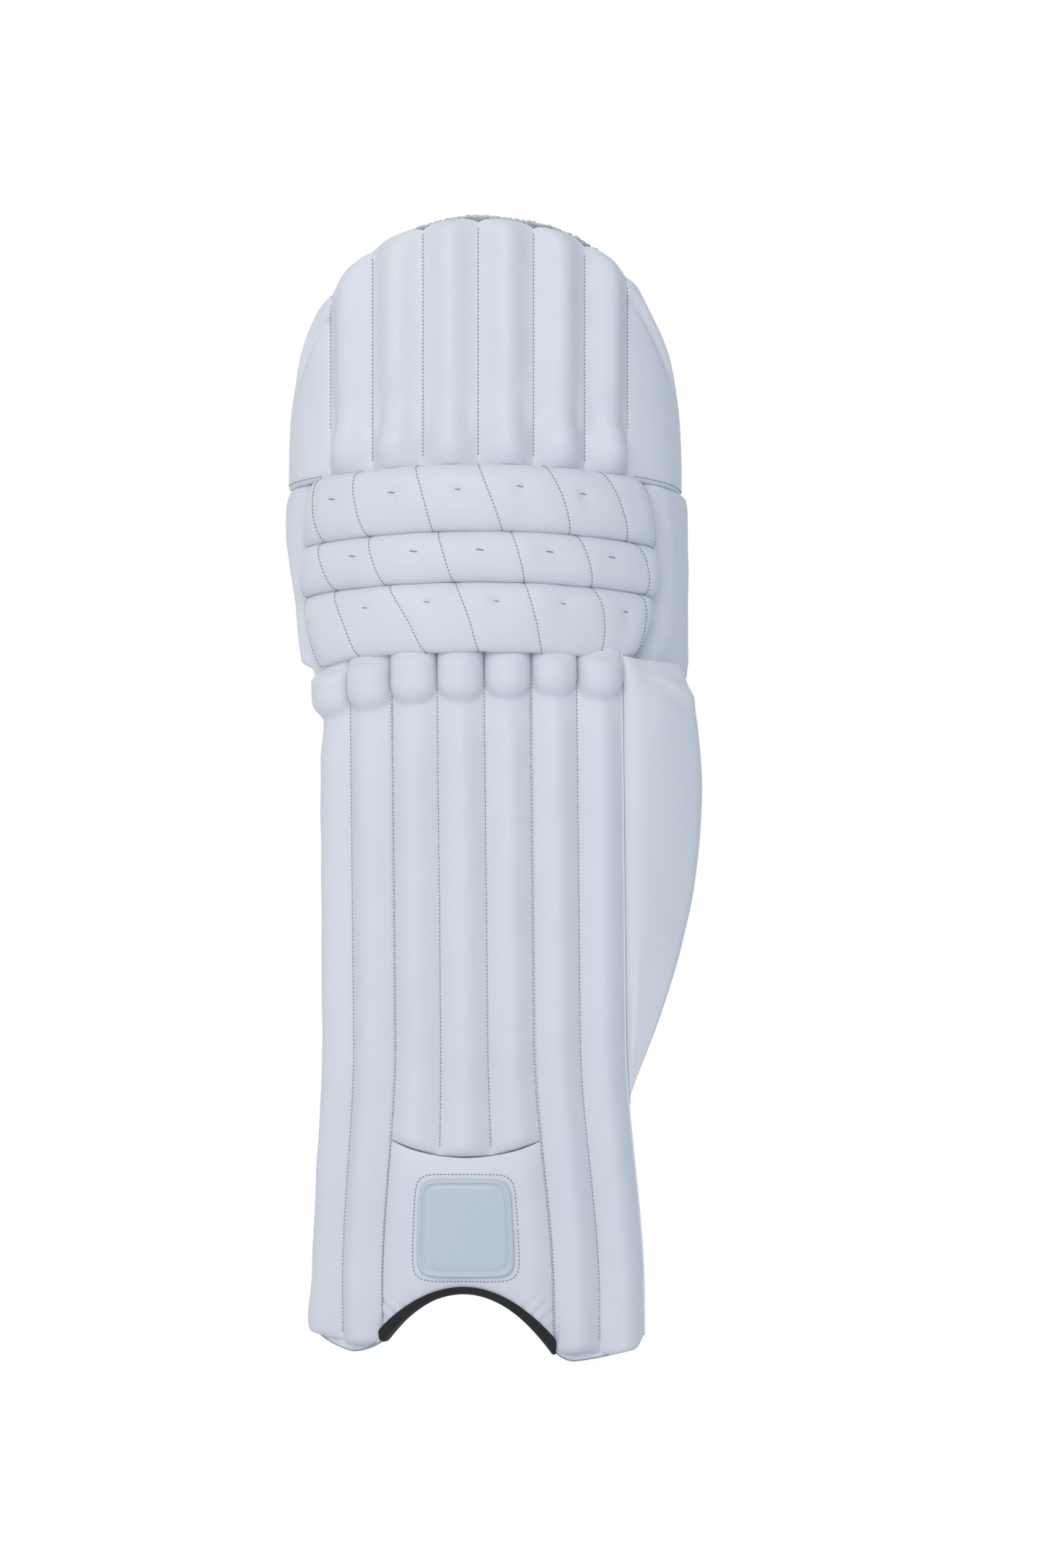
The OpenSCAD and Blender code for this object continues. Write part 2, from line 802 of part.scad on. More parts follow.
// Padding height over the wing, rounded off toward its edges
function wing_pad(t, c) =
  wing_foam_t * root(1 - sq(1 - min(1, min(c, 1 - c) / 0.2))) *
  root(1 - sq(1 - min(1, 0.15 + min(t, 1 - t) / 0.12)));

module wing_face() {
  color(white)
    wing_layer(
      function (t, c) layer_gap + skin_t + wing_pad(t, c),
      function (t, c) layer_gap + wing_pad(t, c),
      0
    );
}

module wing_foam() {
  color(foam)
    wing_layer(
      function (t, c) max(0.8, wing_pad(t, c) - pad_gap * 1.5),
      function (t, c) 0,
      4
    );
}

module wing_lining() {
  color(pale)
    wing_layer(
      function (t, c) -layer_gap,
      function (t, c) -layer_gap - lining_t,
      0.5
    );
}

// Knee: everything turns round one upright axis behind the leg
module at_knee() {
  translate([knee_shift, -leg_to_face + knee_r, 0]) children();
}

// A roll runs along the knee and rounds off over its last degrees
roll_cap_deg = 9;
roll_lift = layer_gap + knee_r * (1 - cos((roll_inner_deg + roll_outer_deg) / 20 + 1));
roll_turns = [
  for (t = [0, 0.012, 0.035, 0.07, 0.1, 0.2, 0.3, 0.4, 0.5, 0.6, 0.7, 0.8, 0.9, 0.93, 0.965, 0.988,
    1])
    lerp(-roll_inner_deg - roll_cap_deg, roll_outer_deg + roll_cap_deg, t)
];
function roll_taper(deg) =
  let (left = min(deg + roll_inner_deg, roll_outer_deg - deg) + roll_cap_deg)
  root(1 - sq(1 - min(1, 0.06 + 0.94 * left / roll_cap_deg)));

// Point of a roll at a turn along the knee and an angle round its section
function roll_pt(deg, phi, h, z, inset) =
  let (
    k = roll_taper(deg),
    off = max(0, roll_depth * k - inset) * pow(cos(phi), roll_full),
    dz = (h / 2 * pow(k, 0.35) - inset) * pow(abs(sin(phi)), roll_square) * sign(phi),
    p = knee_pt(deg, 0, 0)
  )
  knee_pt(deg, flex_z(z, p[1]) + dz, roll_lift + off);

module roll_cover(h, z) {
  grid = function (inset) [
    for (phi = [-90 : 22.5 : 90]) [
      for (deg = roll_turns) roll_pt(deg, phi, h - 2 * flex_gap, z, inset)
    ]
  ];
  slab(grid(0), grid(skin_t));
}

module roll_core(h, z) {
  inset = skin_t + pad_gap;
  bar([
    for (k = [2 : len(roll_turns) - 3]) [
      for (phi = [-90 : 22.5 : 90]) roll_pt(roll_turns[k], phi, h - 2 * flex_gap, z, inset)
    ]
  ]);
}

module lower_roll_cover() {
  color(white) roll_cover(lower_h, (z1 + z2) / 2);
}

module middle_roll_cover() {
  color(white) roll_cover(middle_h, (z2 + z3) / 2);
}

module upper_roll_cover() {
  color(white) roll_cover(upper_h, (z3 + z4) / 2);
}

module lower_roll_core() {
  color(foam) roll_core(lower_h, (z1 + z2) / 2);
}

module middle_roll_core() {
  color(foam) roll_core(middle_h, (z2 + z3) / 2);
}

module upper_roll_core() {
  color(foam) roll_core(upper_h, (z3 + z4) / 2);
}

// Keeps what lies between two flex planes, with a dart behind each flex line
module between_flex(za, zb) {
  y0 = -leg_to_face - roll_depth - 20;
  y1 = -flex_y;
  y2 = leg_to_face;
  intersection() {
    children();
    rotate([90, 0, 90])
      linear_extrude(height = 500, center = true)
        polygon([
          [y0, flex_z(za, y0) + flex_gap], [y1, flex_z(za, y1) + flex_gap],
          [y2, flex_z(za, y2) + flex_gap + dart(y2)], [y2, flex_z(zb, y2) - flex_gap - dart(y2)],
          [y1, flex_z(zb, y1) - flex_gap], [y0, flex_z(zb, y0) - flex_gap]
        ]);
  }
}

// Keeps what lies outward of the inner edge of the knee, which draws in toward the shin
module inside_taper() {
  x0 = knee_shift - (knee_r + layer_gap + band_t) * sin(band_inner_deg);
  x_at = function (z) x0 + knee_taper * (z3 + 9 - z) / (z3 - z1 + 18);
  intersection() {
    children();
    rotate([90, 0, 0])
      linear_extrude(height = 500, center = true)
        polygon([
          [x_at(z1 - 60), z1 - 60], [3 * knee_r, z1 - 60], [3 * knee_r, z4 + 60],
          [x_at(z4 + 60), z4 + 60]
        ]);
  }
}

module knee_ring(za, zb, r0, r1, deg0, deg1) {
  inside_taper()
    between_flex(za, zb)
      at_knee() sector(r0, r1, deg0, deg1, za - 60, zb + 60);
}

module knee_lining(za, zb) {
  knee_ring(za, zb, knee_r - knee_lining_t, knee_r, -band_inner_deg + 1, band_outer_deg - 1);
}

module lower_knee_lining() {
  color(pale) knee_lining(z1, z2);
}

module middle_knee_lining() {
  color(pale) knee_lining(z2, z3);
}

module upper_knee_lining() {
  color(pale) knee_lining(z3, z4);
}

// Turn past the end of a roll at which the side bands start
band_start_deg = roll_cap_deg + 0.4;

module knee_band(za, zb, deg0, deg1) {
  knee_ring(za, zb, knee_r + layer_gap, knee_r + layer_gap + band_t, deg0, deg1);
}

module lower_wing_inner() {
  color(white) knee_band(z1, z2, -band_inner_deg, -roll_inner_deg - band_start_deg);
}

module middle_wing_inner() {
  color(white) knee_band(z2, z3, -band_inner_deg, -roll_inner_deg - band_start_deg);
}

module upper_wing_inner() {
  color(white) knee_band(z3, z4, -band_inner_deg, -roll_inner_deg - band_start_deg);
}

module lower_wing_outer() {
  color(white) knee_band(z1, z2, roll_outer_deg + band_start_deg, band_outer_deg);
}

module middle_wing_outer() {
  color(white) knee_band(z2, z3, roll_outer_deg + band_start_deg, band_outer_deg);
}

module upper_wing_outer() {
  color(white) knee_band(z3, z4, roll_outer_deg + band_start_deg, band_outer_deg);
}

// Bolster across the inside of the knee, rounded off at both ends
module knee_bolster(za, zb) {
  turn = 42;
  r = knee_bolster_d / 2;
  bar([
    for (t = [-1, -0.97, -0.9, -0.78, -0.5, -0.25, 0, 0.25, 0.5, 0.78, 0.9, 0.97, 1])
      let (
        k = root(1 - sq(max(0, (abs(t) * 0.995 - 0.76) / 0.24))),
        p = knee_pt(t * turn, 0, -knee_lining_t - r),
        z = flex_z((za + zb) / 2, p[1])
      )
      [
        for (phi = [0 : 30 : 330])
          knee_pt(t * turn, z + r * k * sin(phi), -knee_lining_t - layer_gap - r + r * k * cos(phi))
      ]
  ]);
}

module lower_knee_bolster() {
  color(pale) knee_bolster(z1, z2);
}

module upper_knee_bolster() {
  color(pale) knee_bolster(z3, z4);
}

// Top section: six channels and two side panels under an oval upper edge
function top_deg(s) = s / knee_r * rad;
function top_edge(s) = z4 + top_h * root(1 - sq(s / (s < 0 ? top_inner + 2 : top_outer + 2)));
function top_flex(s, off) =
  let (y = knee_pt(top_deg(s), 0, 0)[1])
  flex_z(z4, y) + flex_gap + dart(y) - cope(upper_h, off) * 0.75;
top_reach = top_channels / 2 * top_pitch;
function side_pad(s) =
  let (w = s < 0 ? top_inner - top_reach : top_outer - top_reach, d = (abs(s) - top_reach) / w)
  0.5 * top_crown * root(1 - sq(2 * d - 1));
function top_off(s, z, inset) =
  let (
    up = top_edge(s) - z,
    wide = abs(s) < top_reach
      ? crown_off(across(s / top_pitch, top_pitch), top_pitch, top_crown, inset)
      : max(0, side_pad(s) - inset)
  )
  wide * root(1 - sq(1 - min(1, up / 18)));

top_cols = concat(
  [for (t = [0, 0.04, 0.15, 0.4, 0.7, 0.92]) lerp(-top_inner, -top_reach, t)],
  [for (u = columns(-top_channels / 2, top_channels / 2)) u * top_pitch],
  [for (t = [0.08, 0.3, 0.6, 0.85, 0.96, 1]) lerp(top_reach, top_outer, t)]
);

module top_layer(front, back, cols, low, lift) {
  rows = [0, 0.1, 0.5, 0.84, 0.93, 0.98, 1];
  grid = function (off) [
    for (t = rows) [
      for (s = cols)
        let (z0 = low(s), z = lerp(z0, max(z0 + 6, top_edge(s) + lift), t))
        knee_pt(top_deg(s), z, off(s, z))
    ]
  ];
  slab(grid(front), grid(back));
}

module top_face() {
  color(white)
    top_layer(
      function (s, z) layer_gap + skin_t + top_off(s, z, 0),
      function (s, z) layer_gap + top_off(s, z, skin_t),
      top_cols,
      function (s) top_flex(s, skin_t + top_off(s, z4, 0)),
      0
    );
}

// The flat sheets behind the top face have fewer columns
sheet_cols = [for (k = [0 : 4 : len(top_cols) - 1]) top_cols[k]];

module top_backing() {
  color(foam)
    top_layer(
      function (s, z) 0,
      function (s, z) -backing_t,
      [for (s = sheet_cols) min(top_outer - 5, max(-top_inner + 4, s))],
      function (s) top_flex(s, 0) + 1,
      -3
    );
}

module top_lining() {
  color(pale)
    top_layer(
      function (s, z) -backing_t - layer_gap,
      function (s, z) -backing_t - layer_gap - lining_t,
      sheet_cols,
      function (s) top_flex(s, 0),
      towel_edge
    );
}

// Upper end of the padding in channel i of the top section
function top_pad_z(i) =
  let (s0 = (i - top_channels / 2) * top_pitch, s1 = s0 + top_pitch)
  min(top_edge(s0), top_edge(s1)) - 20;

module top_cane_pair(i, d, z0, z1) {
  deg = top_deg((i + 0.5 - top_channels / 2) * top_pitch);
  at_knee()
    rotate([0, 0, deg - 90])
      for (k = [-1, 1])
        translate([knee_r + layer_gap + d / 2, k * top_pitch * 0.15, z0])
          cylinder(d = d, h = z1 - z0);
}

module top_wadding() {
  r = crown_r(top_pitch, top_crown);
  back = cane_d + 2 * layer_gap;
  color(foam)
    for (i = [0 : top_channels - 1])
      at_knee()
        rotate([0, 0, top_deg((i + 0.5 - top_channels / 2) * top_pitch) - 90])
          intersection() {
            translate([knee_r + layer_gap + skin_t + top_crown - r, 0, z4 + 4])
              cylinder(r = r - skin_t - pad_gap, h = top_pad_z(i) - z4 - 4);
            translate([knee_r + layer_gap + back, -top_pitch / 2 + 3, z4])
              cube([top_crown, top_pitch - 6, top_h]);
          }
  // One flat pad under each side panel
  color(foam)
    for (ends = [[-top_inner + 5, -top_reach - 2], [top_reach + 2, top_outer - 5]])
      top_layer(
        function (s, z) layer_gap + max(0.4, top_off(s, z, skin_t) - pad_gap),
        function (s, z) layer_gap,
        [for (s = top_cols) if (s > ends[0] && s < ends[1]) s],
        function (s) top_flex(s, 0) + 2,
        -4
      );
}

module top_canes() {
  color(cane_tan)
    for (i = [0 : top_channels - 1])
      top_cane_pair(i, cane_d, z4 + 8, top_pad_z(i) - 4);
}

shin_face_inner();
shin_face_front();
shin_face_outer();
shin_wadding();
bulb_stuffing();
shin_canes();
shin_backing();
shin_lining();
shin_bolster_inner();
shin_bolster_outer();
label_panel();
label_patch();
instep_binding();
toe_piping();
ankle_strap();
calf_strap();
knee_strap();
strap_rings();
ring_keepers();
loop_patches();
ankle_tab();
calf_tab();
knee_tab();
ankle_hook();
calf_hook();
knee_hook();
wing_face();
wing_foam();
wing_lining();
lower_roll_cover();
middle_roll_cover();
upper_roll_cover();
lower_roll_core();
middle_roll_core();
upper_roll_core();
lower_knee_lining();
middle_knee_lining();
upper_knee_lining();
lower_wing_inner();
middle_wing_inner();
upper_wing_inner();
lower_wing_outer();
middle_wing_outer();
upper_wing_outer();
lower_knee_bolster();
upper_knee_bolster();
top_face();
top_wadding();
top_canes();
top_backing();
top_lining();
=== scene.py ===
import bpy
import numpy as np
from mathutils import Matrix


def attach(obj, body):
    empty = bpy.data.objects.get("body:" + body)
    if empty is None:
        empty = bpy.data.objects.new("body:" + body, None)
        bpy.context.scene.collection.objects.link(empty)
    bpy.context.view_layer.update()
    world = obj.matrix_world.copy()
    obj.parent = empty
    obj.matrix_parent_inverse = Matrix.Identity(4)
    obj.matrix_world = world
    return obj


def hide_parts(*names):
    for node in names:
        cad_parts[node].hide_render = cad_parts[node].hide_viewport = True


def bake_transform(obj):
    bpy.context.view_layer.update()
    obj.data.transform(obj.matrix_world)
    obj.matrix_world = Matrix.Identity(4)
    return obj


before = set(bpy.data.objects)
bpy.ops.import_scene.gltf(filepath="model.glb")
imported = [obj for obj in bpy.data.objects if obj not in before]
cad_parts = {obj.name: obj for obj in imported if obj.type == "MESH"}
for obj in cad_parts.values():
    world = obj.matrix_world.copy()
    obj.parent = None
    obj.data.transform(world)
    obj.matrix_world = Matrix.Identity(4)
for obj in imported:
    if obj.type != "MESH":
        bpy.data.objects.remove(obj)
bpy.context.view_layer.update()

# ---- Shin face ----
# Three panels of white synthetic leather, sewn down in seven upright channels over canes and
# wadding. A stuffed plug under the skin makes the round bulb at the top of each channel.
PITCH, TOE_FLARE, CROWN = 28.7, 7.0, 8.5  # width of a channel, its spread at the toes, its height
SHIN_H, FACE_Y, SEAM_OFF = 441.0, 80.0, 1.7  # top of the shin, face before the leg, skin at the seams
INNER_R, OUTER_R, MID_U = 130.0, 320.0, 3.5  # plan radii to both sides, middle of the channels
BULB_R, BULB_LEN = 13.5, np.array([40.0, 38.0, 35.5, 34.5, 32.5, 30.5, 31.5])
TUCK = np.array([0.75, 0.6, 0.42, 0.4, 0.4, 0.42, 0.65])  # share of each bulb sunk under the roll
TUCK_LOW = np.array([16.0, 13.0, 10.0, 10.0, 10.0, 10.0, 10.0])  # start of that below the roll
TILT, FLEX_Y = np.tan(np.radians(7.5)), -38.0  # slope of the flex planes, depth of their hinges
SKIN, ACROSS, FULL_TURN = 1.2, 30, 6.2832  # skin's thickness, millimetres to a channel, 2 pi


def share_of(t):
    """Value kept between 0 and 1."""
    return np.clip(t, 0, 1)


def ease(t):
    """Smooth step from 0 to 1."""
    t = share_of(t)
    return t * t * (3 - 2 * t)


def lerp(a, b, t):
    """Straight mix of a and b."""
    return a + (b - a) * t


def level(t):
    """Parabola that rises from 0 and runs out level at 1."""
    return 1 - (1 - share_of(t)) ** 2


def quarter(t):
    """Quarter of a circle, from an upright start at 0 to level at 1."""
    return np.sqrt(level(t))


def bell(t):
    """Bell curve of height 1."""
    return np.exp(-(t**2))


def spread(*values):
    """The values as float arrays of one shape."""
    return np.broadcast_arrays(*(np.asarray(v, float) for v in values))


def outward(b):
    """Level unit vector out of a surface that is turned by b."""
    return np.stack([np.sin(b), -np.cos(b), 0 * b], -1)


def sideways(b):
    """Level unit vector along that surface, to the right."""
    return np.stack([np.cos(b), np.sin(b), 0 * b], -1)


def middle_pitch(z):
    """Width of a channel over the instep: the common width, spread toward the toes."""
    return PITCH + TOE_FLARE * (1 - ease((z - 40) / 160))


def shin_mid(z):
    """Middle of the shin, which leans to the inner side."""
    return -lerp(1.5, 6.0, z / SHIN_H)


def shin_frame(u, z):
    """Plan of the shin: an arc to each side of the middle and a tighter one for the first channel."""
    def along(v):
        half = 1.5 * middle_pitch(z)
        mid = (v - MID_U) * middle_pitch(z)
        return np.where(v < 2, -half - (2 - v) * PITCH, np.where(v > 5, half + (v - 5) * PITCH, mid))

    s, s1, edge_r = along(u), along(np.ones_like(u)), lerp(58.0, 28.0, z / SHIN_H)
    r = np.where(s < 0, INNER_R, OUTER_R)
    a = np.maximum(s, s1) / r
    b = a + np.minimum(0, s - s1) / edge_r
    x = shin_mid(z) + r * np.sin(a) + edge_r * (np.sin(b) - np.sin(a))
    y = -FACE_Y + r * (1 - np.cos(a)) + edge_r * (np.cos(a) - np.cos(b))
    return x, y, b


def shin_pt(u, z, off):
    """Point at channel position u and height z, off millimetres out of the seam surface."""
    u, z, off = spread(u, z, off)
    x, y, b = shin_frame(u, z)
    return np.stack([x + off * np.sin(b), y - off * np.cos(b), z], -1)


def flex_z(z, y):
    """Height of a sloping flex plane at depth y."""
    return z - (y + FACE_Y) * TILT


def shin_flex(u):
    """Upper edge of the shin under the lower roll, with a dart that opens behind the hinge."""
    y = shin_pt(u, SHIN_H, 0)[..., 1]
    dart = np.maximum(0, y - FLEX_Y) * np.tan(np.radians(3.5))
    return flex_z(SHIN_H, y) - 0.5 - dart


def crown_off(d, w, c):
    """Height of a circular crown c across a strip of width w, d from its middle."""
    r = (w * w / 4 + c * c) / (2 * c)
    return np.maximum(0, np.sqrt(np.maximum(0, r * r - d * d)) - (r - c))


def ridge(d, w, c):
    """Rounded ridge of height c: mostly a circular crown, with some cosine for a soft valley."""
    return 0.62 * crown_off(d, w, c) + 0.38 * c * np.cos(np.pi * np.clip(d / w, -0.5, 0.5)) ** 2


def unevenness(a, b, size, seed, waves=14):
    """Sum of sine waves about size long in seeded random directions, within about 1."""
    rng = np.random.default_rng(seed)
    turns, phases, rates = (rng.uniform(*r, waves) for r in ((0, np.pi), (0, 6.28), (0.6, 1.6)))
    total = np.zeros(np.broadcast(a, b).shape)
    for turn, phase, k in zip(turns, phases, rates):
        total = total + np.sin(k * FULL_TURN / size * (a * np.cos(turn) + b * np.sin(turn)) + phase)
    return total / 5.3


def toe_hem(u):
    """Height of the flat hem under the channels: a sine over each toe, lowest at its corners."""
    inner, outer = share_of(u / 2), share_of((u - 4.9) / 1.35)
    outer = np.where(u > 5, np.sin(np.pi * outer) ** 1.2, 0.0)
    return 0.5 + 4.2 * np.where(u < 2, np.sin(np.pi * inner) ** 1.5, outer)


def channel_off(u, z, low):
    """Ridge of a channel that ends over the hem, joined softly with the bulb at its top, which tucks
    in under the roll. Puckers stand along the seams and the hem."""
    c = np.clip(np.floor(u), 0, 6)
    k, instep = c.astype(int), (c >= 2) & (c < 5)
    w = np.where(instep, middle_pitch(z), PITCH)
    d, s = (u - c - 0.5) * w, u * ACROSS
    over = z - low - toe_hem(u)
    up = share_of(over / np.where(instep, 8, 3 + toe_hem(u)))
    end = quarter(up)
    roll = shin_flex(c + 0.5)
    tip = roll - BULB_LEN[k]
    crown = ridge(d, w, CROWN) * end * (1 - 0.3 * bell((z - tip + 3) / 15))
    dz = np.minimum(0, z - tip - BULB_R)
    bulb = 1.05 * np.sqrt(np.maximum(0, BULB_R**2 - (d * 0.95) ** 2 - dz * dz))
    joined = (crown + bulb + np.sqrt((crown - bulb) ** 2 + 1.2)) / 2 - 0.3
    rise = np.where(bulb > 0, np.maximum(joined, crown), crown)
    rise = rise * (1 - TUCK[k] * ease((z - roll + TUCK_LOW[k]) / 11))
    soft = 0.4 * share_of(rise / CROWN) * unevenness(s, z, 46, 2)
    pucker = np.sin(FULL_TURN * z / 6.1 + 3 * unevenness(s, z, 40, 5) + 2.1 * c)
    pucker = 0.16 * bell((np.abs(d) - w / 2) / 2.6) * pucker * end
    hem = np.sin(FULL_TURN * s / 6.5 + 2 * unevenness(s, z, 25, 6))
    hem = 0.35 * np.exp(-np.maximum(0, over) / 7) * hem * up
    corner = 4.0 * bell((z - 22) / 18) * share_of(1 - u) * end
    corner = corner - 0.17 * (toe_hem(u) - 0.5) * bell(over / 0.9)
    return rise + corner + soft + pucker + hem


def inner_toe(u):
    """Lower edge of the inner toe: two power curves that meet at the lowest point."""
    rise = 9 * share_of((u - 1.2) / 0.8) ** 1.8
    return 3.8 + np.where(u < 1.2, 8.5 * share_of(1 - u / 1.2) ** 1.2, rise)


def outer_toe(u):
    """Lower edge of the outer toe: a parabola, a slow rise along the sole and a short round corner."""
    sole = 5.5 * np.clip((u - 5.45) / 1.35, 0, 2) ** 1.3
    corner = 8 * share_of((u - 6.75) / 0.25) ** 2
    return np.where(u < 5.45, 6.5 * ((5.45 - u) / 0.45) ** 2, sole + corner)


def label_top(u):
    """Seam over the label panel: a parabola that dips in the middle."""
    return 127 + 10 * ((u - MID_U) * 2 / 3) ** 2


def unit(v):
    """Vectors drawn to a length of 1."""
    return v / np.maximum(1e-9, np.linalg.norm(v, axis=-1, keepdims=True))


def normals(grid):
    """Unit normals of a grid of points, from the cross product of its two directions."""
    return unit(np.cross(np.gradient(grid, axis=1), np.gradient(grid, axis=0)))


def slab(front, back):
    """Closed shell between two equal grids, rows upward and columns to the right."""
    rows, cols = front.shape[:2]
    f = np.arange(rows * cols).reshape(rows, cols)
    b = f + rows * cols

    def quads(p, q, r, s):
        return np.stack([p, q, r, s], -1).reshape(-1, 4)

    faces = [
        quads(f[:-1, :-1], f[:-1, 1:], f[1:, 1:], f[1:, :-1]),
        quads(b[:-1, :-1], b[1:, :-1], b[1:, 1:], b[:-1, 1:]),
        quads(f[:-1, 0], f[1:, 0], b[1:, 0], b[:-1, 0]),
        quads(f[:-1, -1], b[:-1, -1], b[1:, -1], f[1:, -1]),
        quads(f[0, :-1], b[0, :-1], b[0, 1:], f[0, 1:]),
        quads(f[-1, :-1], f[-1, 1:], b[-1, 1:], b[-1, :-1]),
    ]
    return np.concatenate([front.reshape(-1, 3), back.reshape(-1, 3)]), [np.concatenate(faces)]


def piece(name, shape, finish, body, stands_for=(), bend=None, uv=None):
    """Mesh object from points in millimetres and arrays of faces, turned outward by its volume."""
    points, faces = shape
    p = points * 0.001
    volume = sum(
        np.einsum("ij,ij->i", p[f[:, 0]], np.cross(p[f[:, k]], p[f[:, k + 1]])).sum()
        for f in faces for k in range(1, f.shape[1] - 1)
    )
    faces = [f[:, ::-1] if volume < 0 else f for f in faces]
    loops = np.concatenate([f.ravel() for f in faces]).astype(np.int32)
    sizes = np.concatenate([np.full(len(f), f.shape[1]) for f in faces])
    starts = np.concatenate([[0], np.cumsum(sizes)[:-1]]).astype(np.int32)
    mesh = bpy.data.meshes.new(name)
    mesh.vertices.add(len(p))
    mesh.vertices.foreach_set("co", p.ravel())
    mesh.loops.add(len(loops))
    mesh.loops.foreach_set("vertex_index", loops)
    mesh.polygons.add(len(sizes))
    mesh.polygons.foreach_set("loop_start", starts)
    mesh.polygons.foreach_set("use_smooth", np.ones(len(sizes), bool))
    if uv is not None:
        layer = mesh.uv_layers.new(name="weave")
        layer.data.foreach_set("uv", (uv[loops] * 0.001).ravel().astype(np.float32))
    mesh.update(calc_edges=True)
    mesh.validate()
    mesh.set_sharp_from_angle(angle=np.radians(55))
    mesh.materials.append(finish)
    obj = bpy.data.objects.new(name, mesh)
    bpy.context.collection.objects.link(obj)
    if bend:
        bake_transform(obj)
    else:
        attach(obj, body)
    if stands_for:
        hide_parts(*stands_for)


def linear(code):
    """sRGB hex colour as linear RGBA."""
    c = np.array([int(code[k : k + 2], 16) for k in (1, 3, 5)]) / 255
    c = np.where(c <= 0.04045, c / 12.92, ((c + 0.055) / 1.055) ** 2.4)
    return (*c.tolist(), 1.0)


def add(tree, kind, values=None, links=None, **settings):
    """Adds a node with its settings, socket values and links."""
    n = tree.nodes.new("ShaderNode" + kind)
    for key, value in settings.items():
        setattr(n, key, value)
    for key, value in (values or {}).items():
        n.inputs[key].default_value = value
    for key, source in (links or {}).items():
        tree.links.new(source, n.inputs[key])
    return n


def new_material(name):
    """Empty node material with its output, and the object's coordinates in metres."""
    m = bpy.data.materials.new(name)
    m.use_nodes = True
    m.node_tree.nodes.clear()
    out = add(m.node_tree, "OutputMaterial")
    return m, m.node_tree, out, add(m.node_tree, "TexCoord").outputs["Object"]


def texture(tree, kind, at, values, **settings):
    """Output of a procedural texture: the distance of a Voronoi one, else its factor."""
    n = add(tree, "Tex" + kind, values, {"Vector": at}, **settings)
    return n.outputs["Distance" if kind == "Voronoi" else "Fac"]


def maths(tree, operation, a, b):
    """Result of a math node on two values."""
    return add(tree, "Math", {}, {0: a, 1: b}, operation=operation).outputs[0]


def mapped(tree, value, low, high):
    """Value from 0 to 1, mapped to the range from low to high."""
    return add(tree, "MapRange", {"To Min": low, "To Max": high}, {"Value": value}).outputs["Result"]


def coat(tree, out, tone, colours, values, relief=None, height=None, links=None, invert=False):
    """Principled shader: a tone mixes two colours, and a height, or else the tone, makes a bump whose
    relief is its strength and its depth in metres."""
    a, b = map(linear, colours)
    mix = add(tree, "Mix", {"A": a, "B": b}, {"Factor": tone}, data_type="RGBA")
    links = {"Base Color": mix.outputs["Result"], **(links or {})}
    if relief:
        strength, depth = relief
        bump = add(tree, "Bump", {"Strength": strength, "Distance": depth},
                   {"Height": tone if height is None else height}, invert=invert)
        links["Normal"] = bump.outputs["Normal"]
    shader = add(tree, "BsdfPrincipled", values, links)
    tree.links.new(shader.outputs[0], out.inputs["Surface"])


def plain_finish(name, kind, grain, colours, values, relief=None, invert=False, **settings):
    """Material with one texture, which gives the tone of its colour and the height of its relief."""
    m, tree, out, where = new_material(name)
    tone = texture(tree, kind, where, grain, **settings)
    coat(tree, out, tone, colours, values, relief, invert=invert)
    return m


# Polyurethane leather, embossed with a fine pebble grain and softly glossy. The eye sees an even
# cool white with a faint cloudiness. The 0.7 mm grain is drawn at 1.1 mm so that it shows
white_leather, tree, out, where = new_material("polyurethane_leather_white")
cloud = texture(tree, "Noise", where, {"Scale": 14.0, "Detail": 3.0})
pebble = texture(tree, "Voronoi", where, {"Scale": 900.0})
dimple = texture(tree, "Noise", where, {"Scale": 160.0, "Detail": 4.0})
coat(tree, out, cloud, ("#d7dde7", "#e2e6ef"), {"IOR": 1.45, "Specular IOR Level": 0.4}, (0.12, 0.0003),
     maths(tree, "ADD", pebble, dimple), {"Roughness": mapped(tree, dimple, 0.42, 0.56)})


def cell_columns(first, last, n):
    """Columns across whole cells, n to each, closer together at the steep sides of its crown."""
    inside = np.arange(first, last)[:, None] + 0.5 - 0.5 * np.cos(np.arange(n) * np.pi / n)
    return np.append(inside.ravel(), last)


def channel_columns(first, last, n):
    """The same, with the first and the last column just inside their channels."""
    cols = cell_columns(first, last, n)
    cols[0] += 0.006
    cols[-1] -= 0.006
    return cols


def face_panel(first, last, low):
    """Skin of the channels from first to last, from its lower edge to the lower roll, which it hugs."""
    u = channel_columns(first, last, 26)[None, :]
    t = np.concatenate([np.linspace(0, 0.05, 24)[:-1], np.linspace(0.05, 1, 190)])[:, None]
    bottom = low(u)
    side = np.abs(u - np.minimum(np.floor(u), 6) - 0.5) * 2
    reach = SEAM_OFF + np.sqrt(np.maximum(0, 1 - side**2)) * BULB_R
    rise = np.clip((reach - 1) / 21, 0, 0.95) ** 1.25
    top = shin_flex(u) + 0.75 * 20 * (1 - np.sqrt(1 - rise**2) ** 0.9)
    z = bottom + (top - bottom) * t
    front = shin_pt(u, z, SEAM_OFF + channel_off(u, z, bottom))
    return slab(front, front - normals(front) * SKIN)


shin_panels = (
    ("shin_face_inner", 0, 2, inner_toe, ()),
    ("shin_face_front", 2, 5, label_top, ("shin_wadding", "bulb_stuffing")),
    ("shin_face_outer", 5, 7, outer_toe, ()),
)
for name, first, last, low, filling in shin_panels:
    piece(name + "_skin", face_panel(first, last, low), white_leather, "shin", (name, *filling))

